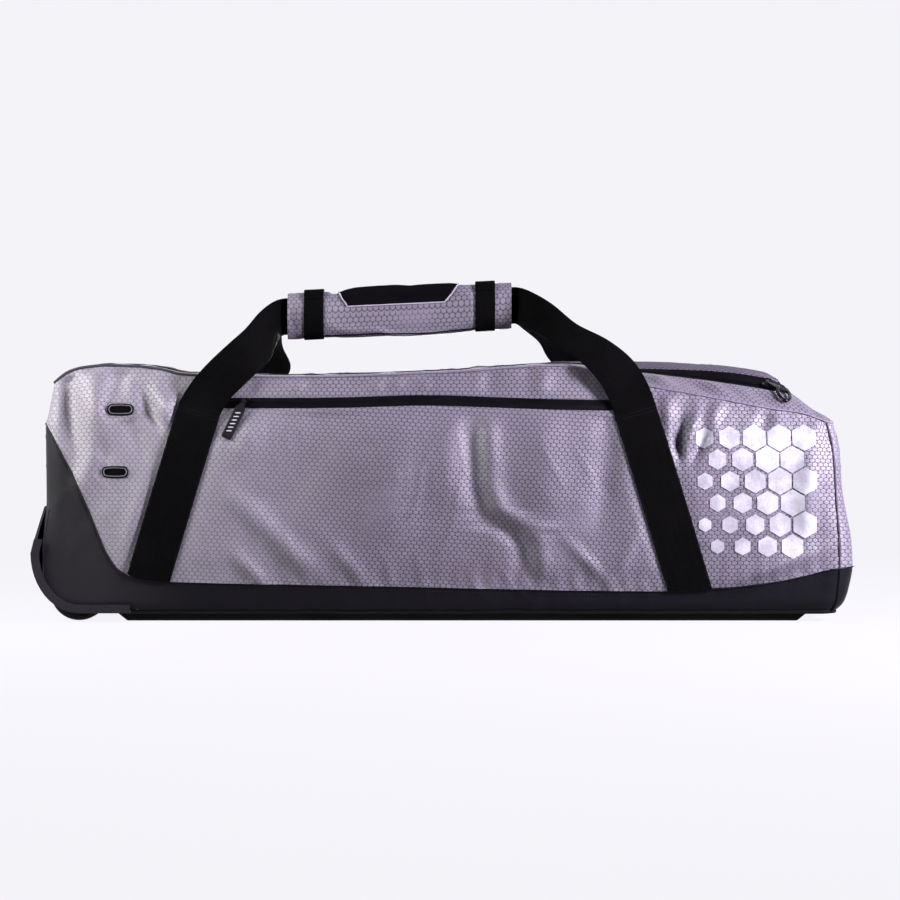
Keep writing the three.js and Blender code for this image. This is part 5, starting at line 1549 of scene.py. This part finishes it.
def grid_normals(grid):
    """Outward directions over a grid that closes round its columns."""
    around = np.roll(grid, -1, 0) - np.roll(grid, 1, 0)
    along = np.gradient(grid, axis=1)
    return unit(np.cross(around, along))


def on_grid(grid, column, row):
    """Points of a grid at fractional columns, which wrap round, and rows."""
    low_c, low_r = np.floor(column).astype(int), np.clip(np.floor(row).astype(int), 0, grid.shape[1] - 2)
    part_c, part_r = (column - low_c)[..., None], (row - low_r)[..., None]
    a, b = low_c % grid.shape[0], (low_c + 1) % grid.shape[0]
    lower = grid[a, low_r] * (1 - part_r) + grid[a, low_r + 1] * part_r
    upper = grid[b, low_r] * (1 - part_r) + grid[b, low_r + 1] * part_r
    return lower * (1 - part_c) + upper * part_c


def build_wrap():
    """Padded wrap round the straps. Returns a function for points above its outer face."""
    x = np.linspace(GRIP_LEFT, GRIP_RIGHT, GRIP_ROWS)[None, :]
    outer = simulated_wrap(grip_section(GRIP_ANGLES, x, -WRAP_SLACK), x)
    away = grid_normals(outer)
    if np.sum(away[0, :, 1]) > 0:
        away = -away
    uv = joined(x - GRIP_LEFT, GRIP_GIRTH)
    wrap = cloth_piece("grip_wrap_cloth", outer, grip_slot(GRIP_ANGLES, x), CLOTH, "grey_fabric",
                       loop=True, replaces=["grip_wrap"], uv=uv)

    def over(turn, place, lift):
        """Points a height above the wrap at an angle round it and a place along it."""
        column = turn / (2 * math.pi) * GRIP_SIDES
        row = (place - GRIP_LEFT) / (GRIP_RIGHT - GRIP_LEFT) * (GRIP_ROWS - 1)
        column, row = np.broadcast_arrays(column, row)
        return on_grid(outer, column, row) + unit(on_grid(away, column, row)) * lift

    return over


def build_grip_bands(over):
    """Webbing bands round the wrap, each with a sewn flap on top."""
    core = GRIP_BAND_GAP + GRIP_BAND / 2
    half = GRIP_BAND / 2 * BAND_FULLNESS[None, :, None]
    lift, under = core + half, core - half
    uv = joined((BAND_SHARES + 1)[None, :] * GRIP_BAND_WIDTH / 2, GRIP_GIRTH)
    turn = np.radians(np.linspace(*FLAP_TURN, FLAP_ROWS))[:, None]
    for name, band_x in GRIP_BANDS.items():
        place = band_x + GRIP_BAND_WIDTH / 2 * BAND_SHARES[None, :]
        band, inner = over(GRIP_ANGLES, place, lift), over(GRIP_ANGLES, place, under)
        cloth_piece(f"{name}_loop", band, inner, BLACK_WEBBING, "webbing", loop=True,
                    replaces=[name], uv=uv)
        flap, below = over(turn, place, lift + FLAP_OVER), over(turn, place, lift + FLAP_UNDER)
        cloth_piece(f"{name}_flap", flap, below, BLACK_WEBBING, "webbing", uv=uv[:FLAP_ROWS])
        row = (flap[1, 1:-1], np.array([0, -1.0, 0.4]))
        stitch_piece(f"{name}_stitches", [row], BLACK_THREAD, "webbing", pitch=3.0, length=2.2)


def build_grip_mesh(over):
    """Mesh pad over the top of the wrap, between the bands, with pale piping round it."""
    arc = np.linspace(math.pi / 16, math.pi * 15 / 16, MESH_ROWS)
    height = grip_section(arc, np.zeros(MESH_ROWS), 0)[:, 2] - grip_z(0)
    t = np.clip((height - GRIP_MESH.low) / (GRIP_HALF_HEIGHT - GRIP_MESH.low), 0, 1)
    left = GRIP_MESH.low_left + t * (GRIP_MESH.top_left - GRIP_MESH.low_left)
    right = GRIP_MESH.low_right + t * (GRIP_MESH.top_right - GRIP_MESH.low_right)
    place = left[:, None] + (right - left)[:, None] * np.linspace(0, 1, MESH_COLUMNS)[None, :]
    counts = (MESH_ROWS, MESH_COLUMNS)
    from_edge = [np.minimum(np.arange(count), np.arange(count)[::-1]) for count in counts]
    puff = MESH_RIM + MESH_PUFF * smoothstep(np.minimum.outer(*from_edge), 0, MESH_RIM_ROWS)
    pad = over(arc[:, None], place, puff[..., None])
    pad_under = over(arc[:, None], place, 0.2)
    mesh_pad = cloth_piece("grip_mesh_pad", pad, pad_under, SPACER_MESH, "padded_mesh",
                           replaces=["grip_mesh"])
    rim = np.concatenate([pad[:, 0], pad[-1, 1:], pad[-2::-1, -1], pad[0, -2:0:-1]])
    tube_piece("grip_mesh_piping", rim, MESH_PIPING_RADIUS, PALE_PIPING, "grey_fabric", loop=True)


def build_wrap_edge(over):
    """Bound edge of the wrap's flap low on the front of the grip, and the stitch row above it."""
    left_band, right_band = GRIP_BANDS.values()
    along = np.linspace(left_band + WRAP_EDGE_INSET, right_band - WRAP_EDGE_INSET, 80)
    turn = math.radians(WRAP_EDGE_TURN) + 0.03 * ripple(along, pitch=60, seed=72)
    tube_piece("grip_wrap_edge", over(turn, along, 0.2), WRAP_EDGE_RADIUS, BINDING, "grey_fabric")
    seam = over(turn + WRAP_SEAM_TURN, along, 0.15)
    stitch_piece("grip_wrap_stitches", [(seam, np.array([0, -1.0, -0.4]))], GREY_THREAD, "grey_fabric")


# Printed design, vents, wheels and runners

Foil = namedtuple("Foil", "left right low high pitch largest smallest")
FOIL_AREA = Foil(322, 488, 72, 257, 32.5, 17.6, 6.0)
FOIL_LIFT = 0.55
FOIL_THICKNESS = 0.35
FOIL_UV_SHIFT = 600


def hexagon_sheet(middle_x, middle_z, radius):
    """One printed hexagon that follows the front wall, its corners up and down."""
    s = np.linspace(-1, 1, 9)[:, None]
    t = np.linspace(-1, 1, 9)[None, :]
    x = middle_x + s * radius * math.sqrt(3) / 2
    z = middle_z + t * radius * (1 - 0.5 * np.abs(s))
    outer = front(x, z, -FOIL_LIFT - FOIL_THICKNESS)
    inner = front(x, z, -FOIL_LIFT)
    uv = joined(x + FOIL_UV_SHIFT, z)
    return sheet_solid(outer, inner, uv)


def build_foil():
    """A honeycomb of silver hexagons that thins out towards the strap and the base."""
    area = FOIL_AREA
    row_pitch = area.pitch * math.sqrt(3) / 2
    cells = []
    for row in range(int((area.high - area.low) / row_pitch) + 1):
        z = area.high - area.largest - row * row_pitch
        shift = 0.5 * (row % 2)
        for column in range(int((area.right - area.left) / area.pitch) + 1):
            x = area.right - area.largest - (column + shift) * area.pitch
            leftward = (area.right - x) / (area.right - area.left)
            downward = (area.high - z) / (area.high - area.low)
            reach = leftward + 0.55 * downward
            radius = area.largest * (1.08 - 0.62 * max(0.0, reach - 0.4))
            if x - radius < area.left or z - radius < area.low or radius < area.smallest:
                continue
            cells.append(hexagon_sheet(x, z, min(radius, area.largest)))
    points, faces, uvs = join_solids(cells)
    piece(polygon_object("foil_print", points, faces, uvs), FOIL, "grey_fabric")


def stadium(half_length, half_height, count):
    """Rounded slot outline as places along and up, run round once."""
    straight = half_length - half_height
    turn = np.linspace(0, 2 * math.pi, count, endpoint=False)
    along = half_height * np.cos(turn) + straight * np.clip(2.2 * np.cos(turn), -1, 1)
    return np.stack([along, half_height * np.sin(turn)], -1)


# Section of a vent's moulded ring, from its outer edge to its inner one
VENT_RING = table("inset lift", [
    (0, -0.1), (0, 0.7), (0.35, 1.35), (1.0, 1.75), (2.0, 1.9),
    (3.0, 1.75), (3.6, 1.3), (4.0, 0.6), (4.0, -0.1),
])
VENT_STEPS = 72
# Place and size of the pale line that paints the highlight on a vent's ring
VENT_RIM_INSET = 2.6
VENT_RIM_LIFT = 1.75
VENT_RIM_RADIUS = 0.45
VENT_MESH_TUCK = 0.6


def vent_path(x, z, inset, lift):
    """Points round a vent, a distance inside its outline and a height above the front wall."""
    path = stadium(VENT.length / 2 - inset, VENT.height / 2 - inset, VENT_STEPS)
    return front(x + path[:, 0], z + path[:, 1], -lift)


def build_vent_ring(name, x, z):
    """Moulded ring of a vent, with a pale line round it that paints the highlight on the ring's edge."""
    rings = [vent_path(x, z, inset, lift) for inset, lift in zip(*VENT_RING.values())]
    ring = polygon_object(f"vent_{name}_ring", *swept_solid(np.stack(rings, 1), loop=True))
    piece(ring, RUNNER_PLASTIC, "moulded_plastic", replaces=[f"vent_ring_{name}"])
    # Painted highlight: a pale line along the top of the ring, where its edge catches the light.
    rim = tube(vent_path(x, z, VENT_RIM_INSET, VENT_RIM_LIFT), VENT_RIM_RADIUS, 6, loop=True)
    piece(polygon_object(f"vent_{name}_rim", *rim), RIM_HIGHLIGHT_PAINT, "moulded_plastic")


def build_vent_mesh(name, x, z):
    """Slightly domed patch of mesh inside a vent's ring."""
    inset = VENT.border - VENT_MESH_TUCK
    half_length, half_height = VENT.length / 2 - inset, VENT.height / 2 - inset
    t = np.linspace(-0.999, 0.999, 13)[None, :]
    s = np.linspace(-1, 1, 31)[:, None]
    width = half_length - half_height + half_height * np.sqrt(1 - t**2)
    along, up = x + s * width, z + t * half_height
    dome = 0.5 * (1 - s**2) * (1 - t**2)
    uv = joined(along, up)
    cloth_piece(f"vent_{name}_mesh", front(along, up, -0.45 - dome), front(along, up, -0.1), SPACER_MESH,
                "padded_mesh", replaces=[f"vent_mesh_{name}"], uv=uv)


def build_vents():
    """Slotted eyelets in the front wall: a ring round a patch of mesh."""
    for name, (x, z) in VENT_PLACES.items():
        build_vent_ring(name, x, z)
        build_vent_mesh(name, x, z)


def turned(profile_r, profile_h, middle, count):
    """Rings of points for a closed profile turned about a level axle; the profile may vary by angle."""
    turn = 2 * math.pi * np.arange(count)[:, None] / count
    r, h = np.broadcast_arrays(profile_r, profile_h, np.zeros((count, 1)))[:2]
    return np.stack([middle[0] + r * np.cos(turn), middle[1] + h, middle[2] + r * np.sin(turn)], -1)


# Half profiles of the tyre and the hub: radius, and place along the axle from the wheel's middle
HALF_TYRE = [
    (38, 0), (38, 2.4), (36.8, 2.9), (36.8, 3.8), (38, 4.3), (38, 7.6), (37.7, 9.2), (36.6, 11.4),
    (34.6, 13.1), (32.4, 13.8), (30, 13.4), (28.2, 12.2), (27.3, 11),
]
HALF_HUB = [
    (4.4, 14.6), (5, 15), (8, 15), (8.4, 14.4), (9.4, 9.4), (11, 8.6),
    (19, 8.6), (20.6, 9.2), (21.6, 11.4), (22.4, 12), (26.2, 12), (27, 11.4),
]
TYRE_STEPS = 96
HUB_STEPS = 120
SPOKES = 6
SPOKE_RISE = 2.6


def build_wheels():
    """Grooved tyres, and hubs with spokes that rise from a dish on both faces."""
    tyre = np.array(HALF_TYRE + [(r, -h) for r, h in HALF_TYRE[::-1]][:-1])
    hub = np.array(HALF_HUB + [(r, -h) for r, h in HALF_HUB[::-1]])
    turn = 2 * math.pi * np.arange(HUB_STEPS)[:, None] / HUB_STEPS
    spoke = smoothstep(np.cos(SPOKES * turn), 0.35, 0.75)
    dish = (hub[:, 0] > 9) & (hub[:, 0] < 21)
    hub_height = hub[:, 1] + np.where(dish, np.sign(hub[:, 1]) * SPOKE_RISE * spoke, 0)
    for name, side in (("front", -1), ("back", 1)):
        middle = (WHEEL_X, side * WHEEL_Y, WHEEL_RADIUS)
        body = f"wheel_{name}"
        rings = turned(tyre[:, 0], tyre[:, 1], middle, TYRE_STEPS)
        made = polygon_object(f"tyre_{name}", *swept_solid(rings, loop=True), sharp=35)
        piece(made, TYRE_RUBBER, "wheel_rubber", body, [f"wheel_tyre_{name}"])
        rings = turned(hub[:, 0], hub_height, middle, HUB_STEPS)
        made = polygon_object(f"hub_{name}", *swept_solid(rings, loop=True), sharp=35)
        piece(made, HUB_PLASTIC, "hub_plastic", body, [f"wheel_hub_{name}"])


def build_runners():
    """Two moulded runners under the base, ribbed lengthways, with sloping ends."""
    section = table("y z", mirrored([
        (-13, SKID.height), (-13, 2.6), (-12.4, 1.1), (-11, 0.3), (-9.2, 0),
        (-6.6, 0), (-6.0, 0.9), (-4.6, 0.9), (-4.0, 0),
    ]))
    share = np.linspace(0, 1, 60)[:, None]
    for name, side in (("front", -1), ("back", 1)):
        slope = SKID.slope * (1 - section["z"] / SKID.height)[None, :]
        x = (SKID.left + slope) * (1 - share) + (SKID.right - slope) * share
        y, z = side * SKID.y + section["y"][None, :], section["z"][None, :]
        grid = joined(x, y, z)
        made = polygon_object(f"runner_{name}", *swept_solid(grid), sharp=35)
        piece(made, RUNNER_PLASTIC, "moulded_plastic", replaces=[f"skid_{name}"])


# Zip pulls, and the solids that stay on show

def pull_frame(name):
    """A pull's hinge place, its directions along the tab, across it and facing out, and its length."""
    joint = next(joint for joint in frame["joints"] if joint["name"] == f"{name}_swing")
    hinge, across = np.array(joint["pos_m"]) / MM, unit(np.array(joint["axis"]))
    corners = np.array([vertex.co for vertex in frame["nodes"][name].data.vertices]) / MM
    out = corners.mean(0) - hinge
    out = unit(out - np.dot(out, across) * across)
    facing = np.cross(out, across)
    middle = float(np.mean((corners - hinge) @ facing))
    length = float(np.max((corners - hinge) @ out))
    towards_camera = facing if facing[1] < 0 else -facing
    return hinge + facing * middle, out, across, towards_camera, length


def tab_sleeve(name, hold, stations, half_width, half_depth, lift):
    """Rubber sleeve over a pull's tab: a flat rounded section with a size at each place along it."""
    hinge, out, across, facing, _ = hold
    turn = np.linspace(0, 2 * math.pi, 28, endpoint=False)
    wide = half_width * np.sign(np.cos(turn)) * np.abs(np.cos(turn)) ** 0.4
    deep = half_depth * np.sign(np.sin(turn)) * np.abs(np.sin(turn)) ** 0.6
    rings = []
    for place, size in stations:
        middle = hinge + out * place + facing * lift
        rings.append(middle + (size * wide)[:, None] * across + (size * deep)[:, None] * facing)
    made = polygon_object(f"{name}_sleeve", *swept_solid(np.array(rings)))
    piece(made, PULL_RUBBER, "pull_rubber", name)


# Loop on the lid's pull: places from the end of its tab, and heights over the strip round the lid
PULL_LOOP = table("x y rise", [
    (2, -6, 7), (3, -18, 7), (1, -30, 6.5), (-5, -37, 6), (-11, -31, 6.5), (-13, -19, 7), (-11, -7, 8),
])
PULL_LOOP_RADIUS = 2.3


def build_pocket_pull():
    """Rubber sleeve on the pocket's pull, with a raised rim and a row of slanted bars."""
    hold = pull_frame("pocket_pull")
    hinge, out, across, facing, length = hold
    end, half, deep, lift = length + 7.0, 7.0, 1.6, 0.6
    stations = [(9, 0.6), (9.6, 0.85), (11.5, 1), (end - 2.5, 1), (end - 0.6, 0.9), (end, 0.7)]
    tab_sleeve("pocket_pull", hold, stations, half, deep, lift)
    face = hinge + facing * (lift + deep - 0.1)
    low, high, side = 13.0, end - 2.6, half - 1.6
    turn = np.linspace(0, 2 * math.pi, 48, endpoint=False)
    along = (low + high) / 2 + (high - low) / 2 * np.clip(1.3 * np.cos(turn), -1, 1)
    rim = face + along[:, None] * out + side * np.clip(1.3 * np.sin(turn), -1, 1)[:, None] * across
    made = polygon_object("pocket_pull_rim", *tube(rim, 0.5, 8, loop=True))
    piece(made, PULL_RUBBER, "pull_rubber", "pocket_pull")
    places = np.arange(low + 4.5, high - 3, 5.2)
    centres = face + places[:, None] * out
    slant = np.broadcast_to(unit(across + 0.45 * out), centres.shape)
    upward = np.broadcast_to(facing, centres.shape)
    points, faces = capsules(centres, slant, upward, length=7.6, radius=0.85)
    made = polygon_object("pocket_pull_bars", points, drop_repeats(faces))
    piece(made, PULL_MARK, "pull_rubber", "pocket_pull")


def build_lid_pull():
    """Rubber sleeve on the lid's pull, and a loop of rod through its end."""
    hold = pull_frame("lid_pull")
    hinge, out, _, _, length = hold
    shares = [(0.56, 0.8), (0.57, 0.95), (0.6, 1.0), (0.9, 1.06), (1.0, 1.0), (1.02, 0.8)]
    stations = [(length * share, size) for share, size in shares]
    tab_sleeve("lid_pull", hold, stations, half_width=6.0, half_depth=1.9, lift=0)
    near, tip = hinge + out * (length - 13), hinge + out * (length - 3)
    place = tip[:2] + np.stack([PULL_LOOP["x"], PULL_LOOP["y"]], -1)
    bow = top_points(place, TOP_GAP + FABRIC + PULL_LOOP["rise"])
    path = smooth_rows(np.concatenate([[near, tip], bow, [near, tip]]), 8)
    loop = polygon_object("lid_pull_loop", *tube(path, PULL_LOOP_RADIUS, 12))
    piece(loop, BLACK_NICKEL, "pull_rubber", "lid_pull")


def dress_solids():
    """Materials and soft edges for the solids that stay on show."""
    dressed = {
        "wheel_housing": (GUARD_PLASTIC, 0.9),
        "pocket_slider": (BLACK_NICKEL, 0.35),
        "lid_slider": (BLACK_NICKEL, 0.35),
        "lid_pull": (BLACK_NICKEL, 0.3),
        "pocket_pull": (PULL_RUBBER, 0.4),
    }
    for name, (material, width) in dressed.items():
        node = frame["nodes"][name]
        node.data.materials.clear()
        node.data.materials.append(material)
        bevel = node.modifiers.new("soft_edges", "BEVEL")
        bevel.width = width * MM
        bevel.segments = 3
        bevel.limit_method = "ANGLE"
        bevel.angle_limit = math.radians(38)
        bevel.harden_normals = True


# Stage, light and camera, with places in metres

CAMERA_DISTANCE = 3.2
CAMERA_X = 0.010
CAMERA_Z = 0.234
FRONT_PLANE = -0.185
LENS = 98.8
SENSOR = 36.0
FRAME_PIXELS = 900
HORIZON_DROP = -8 / FRAME_PIXELS


def build_camera():
    """The photo's view: level, square on to the front wall."""
    data = bpy.data.cameras.new("camera")
    data.lens = LENS
    data.sensor_width = SENSOR
    data.shift_y = HORIZON_DROP
    camera = bpy.data.objects.new("camera", data)
    camera.location = (CAMERA_X, FRONT_PLANE - CAMERA_DISTANCE, CAMERA_Z)
    camera.rotation_euler = (math.pi / 2, 0, 0)
    bpy.context.scene.collection.objects.link(camera)
    bpy.context.scene.camera = camera


BACKGROUND = rgb(246, 245, 250)
Stage = namedtuple("Stage", "front back bend top half_width")
STAGE = Stage(-7.0, 2.5, 1.5, 9.0, 12.0)
Surround = namedtuple("Surround", "radius floor top sides")
SURROUND = Surround(14.0, -0.02, 16.0, 64)


def sweep_object():
    """Pale floor that sweeps up behind the bag."""
    turn = np.linspace(0, math.pi / 2, 24)
    y = np.concatenate([[STAGE.front], STAGE.back + STAGE.bend * np.sin(turn), [STAGE.back + STAGE.bend]])
    z = np.concatenate([[0.0], STAGE.bend * (1 - np.cos(turn)), [STAGE.top]])
    points = [(side * STAGE.half_width, a, b) for side in (-1, 1) for a, b in zip(y, z)]
    count = len(y)
    faces = [(k, k + count, k + count + 1, k + 1) for k in range(count - 1)]
    sweep = polygon_object("floor_sweep", np.array(points) / MM, faces, sharp=80)
    shader = Shader("pale_sweep")
    colour = shader.blend(shader.noise(shader.place(), 0.6), rgb(56, 55, 58), rgb(60, 59, 62))
    shader.surface(Base_Color=colour, Roughness=0.95, Specular_IOR_Level=0.0,
                   Emission_Color=BACKGROUND, Emission_Strength=0.965)
    sweep.data.materials.append(shader.material)
    sweep.visible_diffuse = False
    return sweep


def surround_object():
    """Pale round studio beyond the sweep, which only the camera sees."""
    sides = SURROUND.sides
    turn = np.linspace(0, 2 * math.pi, sides, endpoint=False)
    circle = np.stack([np.cos(turn), np.sin(turn), np.ones(sides)], -1)
    corners = ((0.01, SURROUND.floor), (SURROUND.radius, SURROUND.floor), (SURROUND.radius, SURROUND.top))
    points = [circle * np.array([radius, radius, height]) for radius, height in corners]
    faces = []
    for low, high in ((0, sides), (sides, 2 * sides)):
        for k in range(sides):
            after = (k + 1) % sides
            faces.append((low + k, low + after, high + after, high + k))
    surround = polygon_object("studio_surround", np.concatenate(points) / MM, faces, sharp=80)
    shader = Shader("pale_surround")
    shader.surface(Base_Color=(0, 0, 0, 1), Roughness=1.0, Specular_IOR_Level=0.0,
                   Emission_Color=BACKGROUND, Emission_Strength=1.0)
    surround.data.materials.append(shader.material)
    surround.visible_diffuse = surround.visible_glossy = surround.visible_shadow = False
    return surround


def build_stage():
    """The sweep and the surround, which aren't part of the bag."""
    sweep, surround = sweep_object(), surround_object()


Lamp = namedtuple("Lamp", "name place target size spread power colour")
LAMPS = [
    Lamp("left_box", (-1.2, -0.5, 0.7), (-0.5, 0, 0.2), 0.7, 180, 24, (1.0, 0.985, 0.965)),
    Lamp("right_box", (1.6, -0.95, 0.85), (0.3, 0, 0.2), 0.5, 180, 94, (0.93, 0.86, 1.0)),
    Lamp("back_box", (0.1, 2.1, 0.28), (0, 0, 0.28), 0.5, 60, 7, (0.98, 0.96, 1.0)),
]
WORLD_COLOUR = rgb(205, 205, 212)
WORLD_STRENGTH = 0.14


def build_lights():
    """Three soft boxes that the camera doesn't see, and a weak even light from all round."""
    for lamp in LAMPS:
        data = bpy.data.lights.new(lamp.name, "AREA")
        data.size = lamp.size
        data.spread = math.radians(lamp.spread)
        data.energy = lamp.power
        data.color = lamp.colour
        made = bpy.data.objects.new(lamp.name, data)
        made.location = lamp.place
        aim = Vector(lamp.target) - Vector(lamp.place)
        made.rotation_euler = aim.to_track_quat("-Z", "Y").to_euler()
        made.visible_camera = False
        bpy.context.scene.collection.objects.link(made)
    world = bpy.data.worlds.new("studio")
    world.use_nodes = True
    background = world.node_tree.nodes["Background"]
    background.inputs["Color"].default_value = WORLD_COLOUR
    background.inputs["Strength"].default_value = WORLD_STRENGTH
    bpy.context.scene.world = world
    bpy.context.scene.view_settings.view_transform = "Standard"


build_camera()
build_stage()
build_lights()
build_walls()
build_skirt()
build_base()
build_gusset()
build_lid_zip()
build_lid()
build_pocket()
build_pocket_zip()
build_skirt_seam()
build_top_seam()
build_corner_seams()
build_base_binding()
build_straps()
build_end_handle()
over_wrap = build_wrap()
build_grip_bands(over_wrap)
build_grip_mesh(over_wrap)
build_wrap_edge(over_wrap)
build_foil()
build_vents()
build_wheels()
build_runners()
build_pocket_pull()
build_lid_pull()
dress_solids()
